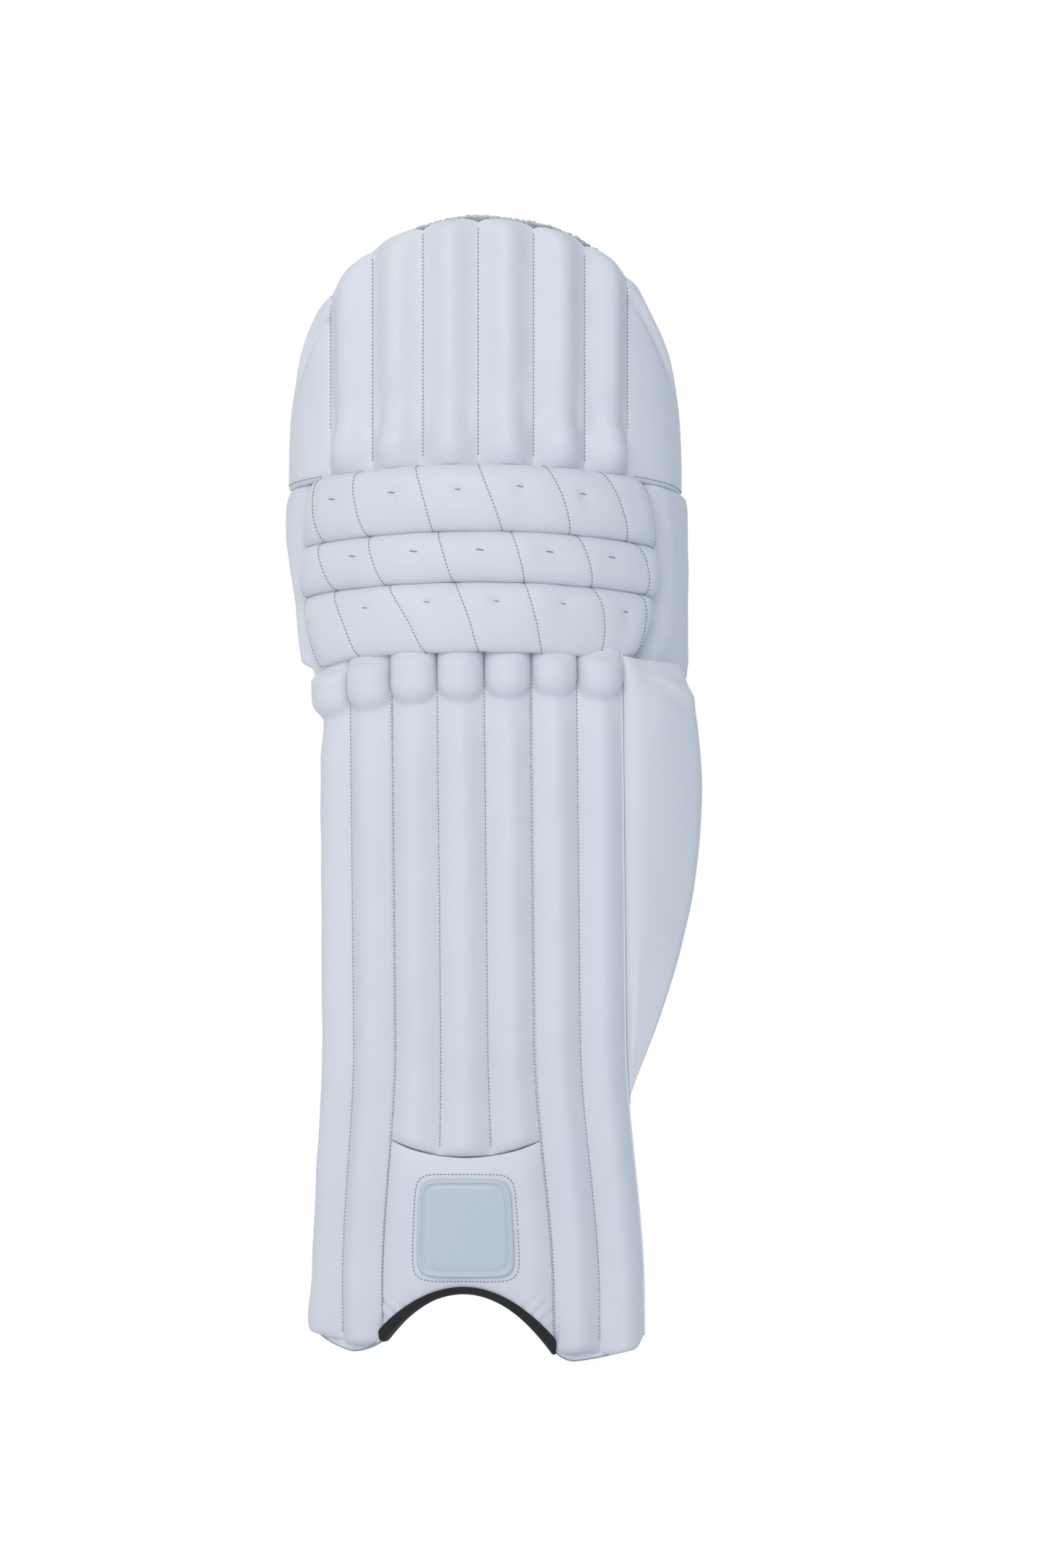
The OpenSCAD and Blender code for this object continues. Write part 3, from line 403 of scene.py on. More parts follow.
# ---- Shin seams ----
# Lock stitches of grey polyester thread, 2.3 mm apart, sink into every valley between channels.
# Each stitch is a short thread that dives into the skin at both ends.
# Spun polyester thread: matt and slightly greener than the leather. It is much darker than the leather:
# partly the thread's own grey, and partly painted shade that falls on and around the stitches
thread = plain_finish("polyester_thread_grey_and_painted_shade", "Noise", {"Scale": 900.0, "Detail": 2.0},
                      ("#7b898b", "#9daaac"), {"Roughness": 0.8, "Specular IOR Level": 0.2})


def run_of(path):
    """Length along a path at each of its points."""
    return np.concatenate([[0], np.cumsum(np.linalg.norm(np.diff(path, axis=0), axis=1))])


def stitch_row(path, out_dirs, pitch=2.3):
    """Middle, direction and outward normal of each stitch, at even steps of length along a path."""
    run = run_of(path)
    at = np.arange(pitch, run[-1] - pitch / 2, pitch)

    def values_at(where, values):
        return np.stack([np.interp(where, run, values[:, k]) for k in range(3)], -1)

    mid, n = values_at(at, path), values_at(at, out_dirs)
    t = unit(values_at(at + 0.4, path) - mid)
    n = unit(n - t * np.einsum("ij,ij->i", t, n)[:, None])
    return np.stack([mid, t, n], 1)


def ring_walls(rows, n):
    """Quads between each ring of n points and the next."""
    k, j = np.arange(rows - 1)[:, None] * n, np.arange(n)[None, :]
    return np.stack([k + j, k + (j + 1) % n, k + n + (j + 1) % n, k + n + j], -1).reshape(-1, 4)


def stitches(rows, length=1.6, width=0.6):
    """One six-sided thread for each stitch: four rings that swell and dip along its direction."""
    s = np.concatenate(rows)
    mid, t, n = (s[:, k, None, None] for k in range(3))
    b = np.cross(t, n)
    ring = np.arange(6) * np.pi / 3
    step, size, lift = np.array([
        [-1, -0.55, 0.55, 1], [0.45, 1, 1, 0.45], [-0.25, 0.12, 0.12, -0.25]])[:, :, None]
    p = (
        mid
        + t * (step * length / 2)[None, :, :, None]
        + b * (np.cos(ring) * size * width / 2)[None, :, :, None]
        + n * (np.sin(ring) * size * width / 2 + lift)[None, :, :, None]
    )
    caps = np.array([[3, 2, 1, 0], [5, 4, 3, 0], [18, 19, 20, 21], [18, 21, 22, 23]])
    one = np.concatenate([ring_walls(4, 6), caps])
    return p.reshape(-1, 3), [(np.arange(len(s))[:, None, None] * 24 + one).reshape(-1, 4)]


def shin_row(u, z, off):
    """Stitches along a line over the shin, off millimetres out of the seam surface."""
    u, z, off = spread(u, z, off)
    return stitch_row(shin_pt(u, z, off), outward(shin_frame(u, z)[2]))


# Up each valley, a little higher where two panels meet, and along the top of the label panel
rows = [shin_row(u, np.linspace(z0, 436, 200), SEAM_OFF + (0.4 if u in (2, 5) else 0.1))
        for u, z0 in ((1, 14), (2, 18), (3, 132), (4, 132), (5, 14), (6, 12))]
u = np.linspace(2.02, 4.98, 120)
rows.append(shin_row(u, label_top(u), SEAM_OFF + 0.3))
piece("shin_stitches", stitches(rows), thread, "shin")

# ---- Label panel and patch ----
# A flat padded panel of the same leather covers the instep between the toes. A bare rounded patch
# of soft moulded rubber with a plain raised rim is sewn on it.
ARCH_R, ARCH_Z, ARCH_SHIFT, LABEL_PAD = 39.0, 42.5, 2.0, 6.0
PATCH_Z, PATCH_W, PATCH_H, PATCH_HEM = 84.0, 28.0, 30.0, 3.0  # middle, half sizes, stitched margin


def arch_at(x, grow):
    """Height of the instep arch, a parabola moved out by a margin."""
    return ARCH_Z - x * x / (2 * ARCH_R) + grow * np.hypot(x, ARCH_R) / ARCH_R


def arch_x(u):
    """Distance of a channel position from the middle of the arch."""
    return shin_pt(u, ARCH_Z, 0)[..., 0] - shin_pt(MID_U, ARCH_Z, 0)[..., 0] + ARCH_SHIFT


def label_low(u):
    """Lower edge of the panel over the arch."""
    return arch_at(arch_x(u), 2.0)


def label_off(u, z):
    """Padding that rises from the side seams and from the upper and lower edge, with soft creases."""
    x, up = arch_x(u), np.minimum(label_top(u) - z, z - label_low(u))
    side = np.minimum(u - 2, 5 - u) * middle_pitch(ARCH_Z)
    rise = LABEL_PAD * level(side / 16) * (0.4 + 0.6 * level(up / 18))
    crease = bell((np.abs(x) - 42) / 12) * bell((z - 30) / 13)
    crease = crease * np.cos((np.abs(x) * 0.75 - z * 0.9) * 0.75) * 0.55
    return SEAM_OFF + rise + crease + 0.25 * share_of(rise / LABEL_PAD) * unevenness(x, z, 30, 8)


u = np.linspace(2.006, 4.994, 130)[None, :]
low = label_low(u)
z = low + (label_top(u) - 0.3 - low) * np.linspace(0, 1, 110)[:, None]
piece("label_panel_skin", slab(shin_pt(u, z, label_off(u, z)), shin_pt(u, z, 0.4)), white_leather, "shin",
      ("label_panel",))


def tube(rings):
    """Rings of points carried along a path, closed with a fan at both ends."""
    rows, n = rings.shape[:2]
    points = np.concatenate([rings.reshape(-1, 3), rings[0].mean(0)[None], rings[-1].mean(0)[None]])
    j, end = np.arange(n), (rows - 1) * n
    first = np.stack([(j + 1) % n, j, np.full(n, rows * n)], -1)
    last = np.stack([end + j, end + (j + 1) % n, np.full(n, rows * n + 1)], -1)
    return points, [ring_walls(rows, n), np.concatenate([first, last])]


# Soft PVC rubber, moulded: cool grey-blue and satin
patch_rubber = plain_finish("moulded_soft_rubber", "Noise", {"Scale": 220.0, "Detail": 3.0},
                            ("#bfccd9", "#c7d3df"), {"Roughness": 0.34, "IOR": 1.5}, (0.1, 0.0002))


def squircle(turn):
    """Square with round corners, as x and y at a turn: a superellipse of the seventh power."""
    r = (np.abs(np.cos(turn)) ** 7 + np.abs(np.sin(turn)) ** 7) ** (-1 / 7)
    return r * np.cos(turn), r * np.sin(turn)


# Share of the half width and height over the panel, from the lower edge over the rim to the middle
profile = np.array([
    [0.97, 0.0], [1.0, 0.3], [1.0, 1.6], [0.985, 2.1], [0.96, 2.3], [0.93, 2.1], [0.915, 1.5], [0.905, 1.2],
    [0.88, 1.2], [0.865, 1.35], [0.85, 1.7], [0.8, 1.8], [0.5, 1.85], [0.2, 1.9], [0.02, 1.9]])
share, lift = profile[:, :1], profile[:, 1:]
x, z = squircle(np.linspace(0, 2 * np.pi, 160, endpoint=False))
u, z = MID_U + PATCH_W * share * x / middle_pitch(PATCH_Z), PATCH_Z + PATCH_H * share * z
piece("label_patch_rubber", tube(shin_pt(u, z, SEAM_OFF + LABEL_PAD + 0.3 + lift)), patch_rubber, "shin",
      ("label_patch",))
x, z = squircle(np.linspace(0, 2 * np.pi, 400))
u, z = MID_U + (PATCH_W + PATCH_HEM) * x / middle_pitch(PATCH_Z), PATCH_Z + (PATCH_H + PATCH_HEM) * z
piece("label_patch_stitches", stitches([shin_row(u, z, label_off(u, z) + 0.12)]), thread, "shin")

# ---- Instep binding ----
# Black grosgrain tape folded over the edge of the instep arch and sewn through, so that a band
# shows on the face and another on the lining.
# Ribbed polyester tape: near black, matt, with fine ribs across it drawn at 1.2 mm
black_tape = plain_finish(
    "grosgrain_tape_black", "Wave", {"Scale": 260.0, "Distortion": 0.4, "Detail": 1.0},
    ("#16191d", "#24282d"), {"Roughness": 0.72, "Specular IOR Level": 0.3}, (0.35, 0.0003),
    bands_direction="X")

u = np.linspace(2.02, 4.98, 90)
x, b = arch_x(u), shin_frame(u, np.full(90, ARCH_Z))[2]
lean = x / np.hypot(x, ARCH_R)
room = (1.5 * middle_pitch(ARCH_Z) - np.abs(x - ARCH_SHIFT)) / np.maximum(0.2, np.abs(lean)) + 0.6
lip = np.minimum(5.2 + 1.8 * (x / 50) ** 2, room)
up = np.stack([lean * np.cos(b), lean * np.sin(b), np.sqrt(np.maximum(0, 1 - lean**2))], -1)
z = label_low(u)
face_low, face_high = label_off(u, z) + 0.15, label_off(u, z + lip * 0.8) + 0.15
# Section of the tape, from the lining round the edge and over the face, then back inside it: share
# of the lip and millimetres upward, share of the two heights of the face and millimetres outward
section = np.array([
    [1, 0, 0, 0, -8.2], [0.6, 0, 0, 0, -8.2], [0, 1.3, 0, 0, -8.0], [0, 0.2, 0, 0, -6.8], [0, -0.2, 0, 0, -3],
    [0, 0.2, 1, 0, -1], [0, 1.2, 1, 0, 0.9], [0.6, 0, 0, 1, 0.9], [1, 0, 0, 1, 1.0], [1, 0.1, 0, 1, 0.5],
    [1, 0, 0, 1, 0.2], [0.6, 0, 0.4, 0.6, 0], [0, 1.9, 1, 0, 0], [0, 1.5, 1, 0, -1.2], [0, 1.6, 0, 0, -3],
    [0, 1.9, 0, 0, -6.4], [0.6, 0, 0, 0, -7.0], [1, 0, 0, 0, -7.0]]).T
rise = lip[:, None] * section[0] + section[1]
out_by = face_low[:, None] * section[2] + face_high[:, None] * section[3] + section[4]
rings = shin_pt(u, arch_at(x, 0), 0)[:, None] + up[:, None] * rise[..., None]
rings = rings + outward(b)[:, None] * out_by[..., None]
piece("instep_binding_tape", tube(rings), black_tape, "shin", ("instep_binding",))

# ---- Toe piping and side edges ----
# A thin grey-blue coated tape closes the lower edge of both toes, and a strip of the white leather
# the free side edges. Both hold the face and the lining together.
# Coated cotton tape: smooth, satin and a little uneven where it is folded
grey_tape = plain_finish("coated_tape_grey", "Noise", {"Scale": 120.0, "Detail": 3.0}, ("#8b98ad", "#a5b0c1"),
                         {"Roughness": 0.5, "Specular IOR Level": 0.4}, (0.2, 0.0003))


def edge_tape(u, z, away, proud, lap, back=-7.6, face=SEAM_OFF + 0.2):
    """Half-round section from the lining to the face, carried along an edge of the shin."""
    k = np.linspace(0, np.pi, 9)
    over = np.concatenate([np.sin(k) * proud, [-4.0, -4.0, -0.2, -0.2, -lap, -lap]])
    out_by = np.concatenate([(back + face) / 2 + (face - back) / 2 * np.cos(k),
                             [back - 0.1, back + 0.9, back + 0.9, face - 0.9, face - 0.6, face + 0.1]])
    out_dir = outward(shin_frame(u, z)[2])
    return (shin_pt(u, z, 0)[:, None] + away[:, None] * over[None, :, None]
            + out_dir[:, None] * out_by[None, :, None])


for name, first, last, low in (("inner", 0.01, 1.96, inner_toe), ("outer", 5.04, 6.97, outer_toe)):
    u = np.linspace(first, last, 70)
    rings = edge_tape(u, low(u) + 0.3, np.tile([0.0, 0.0, -1.0], (70, 1)), 0.9, 0.5)
    piece(f"toe_piping_{name}", tube(rings), grey_tape, "shin",
          ("toe_piping",) if name == "inner" else ())
for name, at, z0, z1, n, way in (("inner", 0.05, 12, 431, 120, -1), ("outer", 6.95, 14, 156, 60, 1)):
    u, z = np.full(n, at), np.linspace(z0, z1, n)
    rings = edge_tape(u, z, way * sideways(shin_frame(u, z)[2]), 1.9, 4.5)
    piece(f"shin_edge_{name}", tube(rings), white_leather, "shin")

# ---- Calf wing ----
# A plain padded flap of leather over foam, lined at the back. It is sewn along the last channel
# and swings on that seam to wrap the calf.
WING_Z0, WING_H, WING_W, WING_R, WING_SWEEP = 158.0, 282.0, 62.5, 90.0, np.radians(126)


def cosine_steps(n):
    """Steps from 0 to 1, closer together at both ends."""
    return 0.5 - 0.5 * np.cos(np.linspace(0, np.pi, n))


def wing_pt(w, z, off):
    """Goes on from the last seam with its own radius, w millimetres along the curve, and leans back
    toward the knee at the top."""
    w, z, off = spread(w, z, off)
    x, y, b = shin_frame(np.full(w.shape, 7.0), z)
    a = b + w / WING_R
    off = off - 4.2 * ease((z - 408) / 28) * ease(w / 20)
    return np.stack([x + WING_R * (np.sin(a) - np.sin(b)) + off * np.sin(a),
                     y + WING_R * (np.cos(b) - np.cos(a)) - off * np.cos(a), z], -1)


def wing_grid(off, trim=0):
    """Flap whose reach follows a sine of the height, below the sloping flex plane; off is a function
    of the shares of height and reach, the length along the curve and the height."""
    t, c = cosine_steps(150)[:, None], cosine_steps(70)[None, :]
    reach = WING_W * np.sin(WING_SWEEP * t**1.1) - 2.6 * ease((t - 0.7) / 0.28)
    reach = np.maximum(1.8 + 2 * trim, reach) - trim
    s = 0.9 + trim + (reach - 0.9 - trim) * c
    top = flex_z(SHIN_H, wing_pt(s, 430, 0)[..., 1]) - 2.6 - 0.8 * ease(s / 14) - trim
    z = WING_Z0 + trim + (top - WING_Z0 - trim) * t
    return wing_pt(s, z, off(t, c, s, z))


def wing_pad(t, c, s, z):
    """Foam height, rounded off toward the edges, with a pucker at the upper corner."""
    pad = quarter(np.minimum(c, 1 - c) / 0.2) * quarter(0.02 + (1 - t) / 0.08) * ease(t / 0.15) ** 0.6
    pucker = bell((s - 40) / 16) * bell((z - 416) / 12) * np.sin((s * 0.5 + z) * 0.35)
    return 1.7 + 7 * pad + pad * (0.5 * unevenness(s, z, 60, 11) + 2.0 * pucker)


wing_bodies, wing_bend = ("shin", "calf_wing"), (wing_pt(1, 300, 0), wing_pt(16, 300, 0))
piece("wing_face_skin", slab(wing_grid(wing_pad), wing_grid(lambda t, c, s, z: 0.2)), white_leather,
      wing_bodies, ("wing_face", "wing_foam"), bend=wing_bend)

# Strip of leather folded into the seam behind both pieces, which bends when the wing swings
z = np.linspace(WING_Z0 + 4, 433, 60)[:, None]
k = np.linspace(-1, 1, 17)[None, :]
edge = np.clip(WING_W * np.sin(WING_SWEEP * ((z - WING_Z0) / WING_H) ** 1.1) - 1.5, 0.4, 8)
w = np.where(k < 0, 7 * k, edge * k)
front, back = (np.where(w[..., None] < 0, shin_pt(7 + w / PITCH, z, off), wing_pt(np.maximum(w, 0), z, off))
               for off in (-0.2, -0.9))
piece("wing_seam_strip", slab(front, back), white_leather, wing_bodies, bend=wing_bend)

# Brushed cotton lining: soft off-white cloth with a fine plain weave, drawn at 1 mm
lining_cloth, tree, out, where = new_material("brushed_cotton_lining")
yarn = {"Scale": 300.0, "Distortion": 1.0, "Detail": 1.0}
weft, warp = (texture(tree, "Wave", where, yarn, bands_direction=k) for k in "XZ")
coat(tree, out, maths(tree, "MULTIPLY", weft, warp), ("#c4cad2", "#dadee4"),
     {"Roughness": 0.9, "Specular IOR Level": 0.15, "Sheen Weight": 0.2}, (0.4, 0.0003))

front = wing_grid(lambda t, c, s, z: -0.1, 0.4)
back = wing_grid(lambda t, c, s, z: -0.4 - 1.9 * quarter(np.minimum(c, 1 - c) / 0.1), 0.4)
piece("wing_lining_cloth", slab(front, back), lining_cloth, wing_bodies, ("wing_lining",),
      bend=wing_bend)

# ---- Knee rolls ----
# Three flat bolsters of leather stuffed with fibre, sewn through on slanting lines and tufted with
# a short stitch in each cell. Their ends are sewn to the side bands; each turns on the one below.
KNEE_R, KNEE_X, ROLL_DEPTH, ROLL_FULL = 130.0, 5.0, 21.0, 0.38
Z1, Z2, Z3, Z4 = SHIN_H, 481.0, 512.0, 553.0  # heights of the four flex lines at the face
CELLS, COARSE, FINE = 7, 8, 28  # cells of a roll, columns to a cell in its blank and in its skin
BLANK_ROWS, SKIN_ROWS = 17, 90


def knee_pt(deg, z, off):
    """Point round the upright axis behind the knee, deg from the middle, off out of the lining."""
    deg, z, off = spread(deg, z, off)
    a = np.radians(deg)
    return np.stack([KNEE_X + (KNEE_R + off) * np.sin(a),
                     -FACE_Y + KNEE_R - (KNEE_R + off) * np.cos(a), z], -1)


def knee_z(z, deg):
    """Height of a flex plane at a turn round the knee."""
    return flex_z(z, knee_pt(deg, 0, 0)[..., 1])


def roll_form(v, phi, h, zc, lines, depth, sag):
    """Flat section with full edges and a low crown, swept along the knee and sewn down softly at its
    ends; its lower half sags over what is below, most at the inner end. Columns run evenly from one
    sewn line to the next, and each line is a parabola through its turns at the top, half way and at
    the bottom."""
    t = np.sign(np.sin(phi)) * np.abs(np.sin(phi)) ** ROLL_FULL
    share = (1 - t) / 2
    a, b, c = (np.array(lines, float).T)[:, :, None]
    at = (1 - share) ** 2 * a + 2 * share * (1 - share) * (2 * b - (a + c) / 2) + share**2 * c
    k = np.clip(np.floor(v).astype(int), 0, len(lines) - 2)
    deg = at[k] + (at[k + 1] - at[k]) * (v - k)[:, None]
    far = np.minimum(deg - at[0], at[-1] - deg) * 2.35
    end = level(far / 26 + 0.02)
    full = end * (0.76 * np.abs(np.cos(phi)) ** ROLL_FULL + 0.24 * (1 - t * t))
    droop = (sag - 1.2) * ease((-30 - deg) / 20)
    z = knee_z(zc, deg) + h / 2 * t * (0.93 + 0.07 * end) - (sag * full + droop) * ease(-t)
    return knee_pt(deg, z, 0.9 + depth * full), deg, end


def inflate(shape, sewn, pressure, cap, steps=20):
    """Cloth under air pressure, held where it is sewn; no point moves further than cap."""
    points, faces = shape
    mesh = bpy.data.meshes.new("blank")
    mesh.from_pydata((points * 0.001).tolist(), [], [f for part in faces for f in part.tolist()])
    blank = bpy.data.objects.new("blank", mesh)
    bpy.context.collection.objects.link(blank)
    blank.vertex_groups.new(name="sewn").add(np.flatnonzero(sewn).tolist(), 1.0, "REPLACE")
    cloth = blank.modifiers.new("cloth", "CLOTH")
    fabric = cloth.settings
    fabric.vertex_group_mass = "sewn"
    fabric.use_pressure, fabric.uniform_pressure_force = True, pressure
    fabric.effector_weights.gravity = 0
    fabric.tension_stiffness = fabric.compression_stiffness = 12
    fabric.bending_stiffness = 0.3
    cloth.point_cache.frame_end = steps
    for step in range(1, steps + 1):
        bpy.context.scene.frame_set(step)
    moved = np.empty(points.size, np.float32)
    blank.evaluated_get(bpy.context.evaluated_depsgraph_get()).data.vertices.foreach_get("co", moved)
    bpy.context.scene.frame_set(1)
    bpy.data.objects.remove(blank)
    bpy.data.meshes.remove(mesh)
    move = moved.reshape(-1, 3) * 1000 - points
    far = np.linalg.norm(move, axis=1, keepdims=True)
    return move * np.minimum(1, cap / np.maximum(1e-9, far))


def resample(grid, rows, cols):
    """Values of a grid at fractional rows and columns, by Catmull-Rom cubics in both directions."""
    for at in (rows, cols):
        i = np.clip(np.floor(at).astype(int), 0, len(grid) - 2)
        t = (at - i)[:, None, None]
        a, b, c, d = (grid[np.clip(i + k, 0, len(grid) - 1)] for k in (-1, 0, 1, 2))
        cubic = c - a + t * (2 * a - 5 * b + 4 * c - d + t * (3 * (b - c) + d - a))
        grid = (b + 0.5 * t * cubic).swapaxes(0, 1)
    return grid


def ring_of(front):
    """Closes a swept front with a flat strip behind it."""
    behind = front[:, -1:] + (front[:, :1] - front[:, -1:]) * np.linspace(0, 1, 8)[None, 1:-1, None]
    return np.concatenate([front, behind], 1)


def tuft_at(deg, height, phi, turn, lift):
    """Row and column of the point on the front of a roll that is nearest to a tuft."""
    gap = ((deg - turn) * 2.6) ** 2 + (height - lift) ** 2 + 1e4 * (np.cos(phi) < 0.3)
    return np.unravel_index(np.argmin(gap), gap.shape)


def skin_row(front, out_dir, at, lift):
    """Stitches along a row or column of the points of a skin."""
    return stitch_row(front[at] + out_dir[at] * lift, out_dir[at])


# Height, the flex lines below and above, sag of the lower half, turns of the sewn lines at the top,
# half way and at the bottom, the end seams first and last, and turn and height of each tuft
rolls = {
    "lower": (40, Z1, Z2, 6.5,
              [(-55.5, -53, -49), (-38.8, -34.5, -30.6), (-22.8, -17.5, -12.7), (-5.7, -2.5, 0.3),
               (11.5, 13.5, 16.0), (29.5, 31.5, 31), (45, 45, 43.5), (56, 52.5, 47)],
              [(-28.2, 7), (-12.2, 8), (4.4, 8), (21.1, 8), (38.4, 6)]),
    "middle": (31, Z2, Z3, 1.2,
               [(-56.5, -56.8, -56), (-43.8, -41, -38.2), (-28, -26, -23.6), (-9.9, -8, -6.1),
                (8.1, 9.8, 11.5), (25.2, 27.2, 29.2), (43.2, 45.2, 47), (56.5, 57, 56)],
               [(-31.8, 0), (-15.9, 1), (0.3, 1), (17.3, 1), (33.3, 1)]),
    "upper": (41, Z3, Z4, 1.2,
              [(-53, -54.5, -56), (-45, -44, -42.3), (-32.1, -30.8, -28.5), (-15.7, -13, -11.2),
               (0.0, 3, 6.2), (17.1, 20.7, 23.3), (32.7, 36.5, 40.4), (51, 54, 56.5)],
              [(-37.5, 1), (-20.9, 4), (-5.0, 4), (10.3, 6), (25.9, 5)]),
}
for name, (h, za, zb, sag, lines, tufts) in rolls.items():
    body, zc = name + "_roll", (za + zb) / 2
    form = (h + 0.8, zc, lines, ROLL_DEPTH - 2.2, sag)
    # Coarse blank, sewn down at the lines, the edges, the tufts and the back
    v, phi = np.linspace(0, CELLS, CELLS * COARSE + 1), np.radians(np.linspace(90, -90, BLANK_ROWS))
    blank, deg, end = roll_form(v, phi, *form)
    rings = ring_of(blank)
    sewn = np.zeros(rings.shape[:2], bool)
    sewn[::COARSE] = sewn[:, 0] = sewn[:, BLANK_ROWS - 1 :] = True
    height = blank[..., 2] - knee_z(zc, deg)
    for turn, lift in tufts:
        sewn[tuft_at(deg, height, phi, turn, lift)] = True
    puff = np.zeros(blank.shape)
    move = inflate(tube(rings), np.append(sewn.ravel(), [True, True]), 4.0, 2.6)
    puff = move[: sewn.size].reshape(rings.shape)[:, :BLANK_ROWS]
    # Fine skin: the same form with the swelling, then the sewn grooves and the dimples of the tufts
    v, phi = cell_columns(0, CELLS, FINE), np.radians(np.linspace(90, -90, SKIN_ROWS))
    front, deg, end = roll_form(v, phi, *form)
    front = front + resample(puff, v * COARSE, (90 - np.degrees(phi)) / 180 * (BLANK_ROWS - 1))
    line = np.clip(np.round(v), 1, CELLS - 1).astype(int)
    gap = np.linalg.norm(front - front[line * FINE], axis=-1)
    dent = 0.3 * np.exp(-gap) + 0.35 * bell(gap / 5)
    height = front[..., 2] - knee_z(zc, deg)
    for turn, lift in tufts:
        gap_x, gap_z = (deg - turn) * 2.6, height - lift - (deg - turn) * 0.35
        dent = dent + 1.2 * bell(gap_x / 6) * bell(gap_z / 3.5)
        dent = dent + 1.3 * bell((gap_x / 3) ** 2) * bell(gap_z / 1.1)
    soft = 0.4 * unevenness(deg * 2.4, height + zc, 34, int(zc))
    out_dir = normals(front)
    front = front + out_dir * ((soft - dent) * end * np.cos(phi) ** 0.4)[..., None]
    piece(name + "_roll_skin", tube(ring_of(front)), white_leather, body,
          (name + "_roll_cover", name + "_roll_core"))
    rows = [skin_row(front, out_dir, k * FINE, 0.15) for k in range(1, CELLS)]
    rows += [skin_row(front, out_dir, np.s_[k, 8:-8], 0.1) for k in (8, -9)]
    if name == "middle":
        rows.append(skin_row(front, out_dir, np.s_[6:-6, 81], 0.1))
    piece(name + "_roll_stitches", stitches(rows), thread, body)
    # Tuft stitches: one thick thread each, sunk in its dimple
    at = tuple(np.transpose([tuft_at(deg, height, phi, turn, lift) for turn, lift in tufts]))
    along = unit(np.cross(out_dir[at], [-0.13, 0, -1.0]))
    tuft_row = np.stack([front[at] + out_dir[at] * 0.25, along, out_dir[at]], 1)
    piece(name + "_roll_tufts", stitches([tuft_row], 5.6, 0.75), thread, body)

# ---- Knee side bands and lining ----
# Flat padded bands of leather carry on from the ends of the rolls, and a quilted lining runs behind
# them. Both bend with the knee, so each is made in four stretches that meet at the rolls' middles.
SEAM_Z, MM_PER_DEG = [Z1, 461, Z2, 496.5, Z3, 532.5, Z4], 2.4
END_SEAM = {"inner": [-49, -53, -55.8, -56.8, -56.3, -54.5, -53], "outer": [47, 52.5, 56, 57, 56.5, 54, 51]}


def knee_edge(side, z):
    """Turn of a band's free edge; the inner one draws in toward the shin, and corners are rounded."""
    upper = ease((z - 541) / 12) ** 2
    if side == "outer":
        return 76.0 - 1.0 * ease((449 - z) / 8) ** 2 - 2.6 * upper
    x = -117.6 + 11 * np.clip((521 - z) / 89, 0, 1.1) + 6 * ease((445 - z) / 10) ** 2 + 3 * upper
    return -np.degrees(np.arcsin((KNEE_X - x) / 133.5))


# Each stretch bends at one flex line: lower and upper end, the two bodies, the flex line, and where
# the bend starts and ends over it
stretches = (
    ("lower", Z1 + 0.2, 461.0, ("shin", "lower_roll"), Z1, (0, 14)),
    ("middle", 461.0, 496.5, ("lower_roll", "middle_roll"), Z2, (-8, 8)),
    ("upper", 496.5, 532.5, ("middle_roll", "upper_roll"), Z3, (-8, 8)),
    ("top", 532.5, Z4 - 0.1, ("upper_roll", "top_section"), Z4, (-14, 0)),
)
for name, low, high, bodies, hinge, reach in stretches:
    bend = [(0, FLEX_Y + TILT * k, flex_z(hinge, FLEX_Y) + k) for k in reach]
    t = np.linspace(0, 1, 44)[:, None]
    for side, start, plump in (("inner", -46.0, 4.0), ("outer", 36.0 if name == "lower" else 45.0, 7.0)):
        c = cosine_steps(64)[None, :]
        # The lowest stretch hangs down over the shin and the wing
        down = 4.2 + 5.2 * ease((c - 0.2) / 0.5) if side == "inner" else 6.6 + 0 * c
        down = down * (name == "lower")
        zr = low - down + (high - low + down) * t
        seam, edge = np.interp(zr, SEAM_Z, END_SEAM[side]), knee_edge(side, zr)
        deg = start + (edge - start) * c
        past = (np.abs(deg) - np.abs(seam)) * MM_PER_DEG
        swell = level(past / 18)
        close = quarter(np.abs(edge - deg) * MM_PER_DEG / 8)
        ends = quarter(np.minimum((zr - Z1 + down + 0.4) / 5, (Z4 - zr + 0.9) / 4))
        soft = 0.5 * unevenness(deg * MM_PER_DEG, zr, 40, 51) * swell * close
        z = knee_z(zr, deg)
        front = knee_pt(deg, z, 0.45 + (0.15 + (2.4 + plump * ends) * swell) * close + soft)
        piece(f"{name}_band_{side}", slab(front, knee_pt(deg, z, 0.2)), white_leather, bodies,
              [] if name == "top" else [f"{name}_wing_{side}"], bend=bend)
    c, zr = np.linspace(0, 1, 160)[None, :], low + (high - low) * t
    deg = lerp(knee_edge("inner", zr) + 0.3, knee_edge("outer", zr) - 0.3, c)
    z = knee_z(zr, deg)
    quilt = np.minimum(1, np.sqrt(np.abs(np.sin(np.pi * 11 * c)) + 0.02))
    back = knee_pt(deg, z, -0.6 - (2.2 + 4.9 * quilt) * quarter(np.minimum(c, 1 - c) / 0.02))
    piece(f"{name}_knee_lining_cloth", slab(knee_pt(deg, z, 0.05), back), lining_cloth, bodies,
          [] if name == "top" else [f"{name}_knee_lining"], bend=bend)

# ---- Knee bolsters ----
# Two stuffed tubes of the lining cloth across the inside of the knee, gathered at both ends, make
# the cup for the kneecap.


def bolster_grid():
    """Share of the half length, closer together at both ends, and turn round the section."""
    t = np.sin(np.linspace(-np.pi / 2, np.pi / 2, 90))[:, None]
    return t, np.linspace(0, 2 * np.pi, 36, endpoint=False)[None, :]


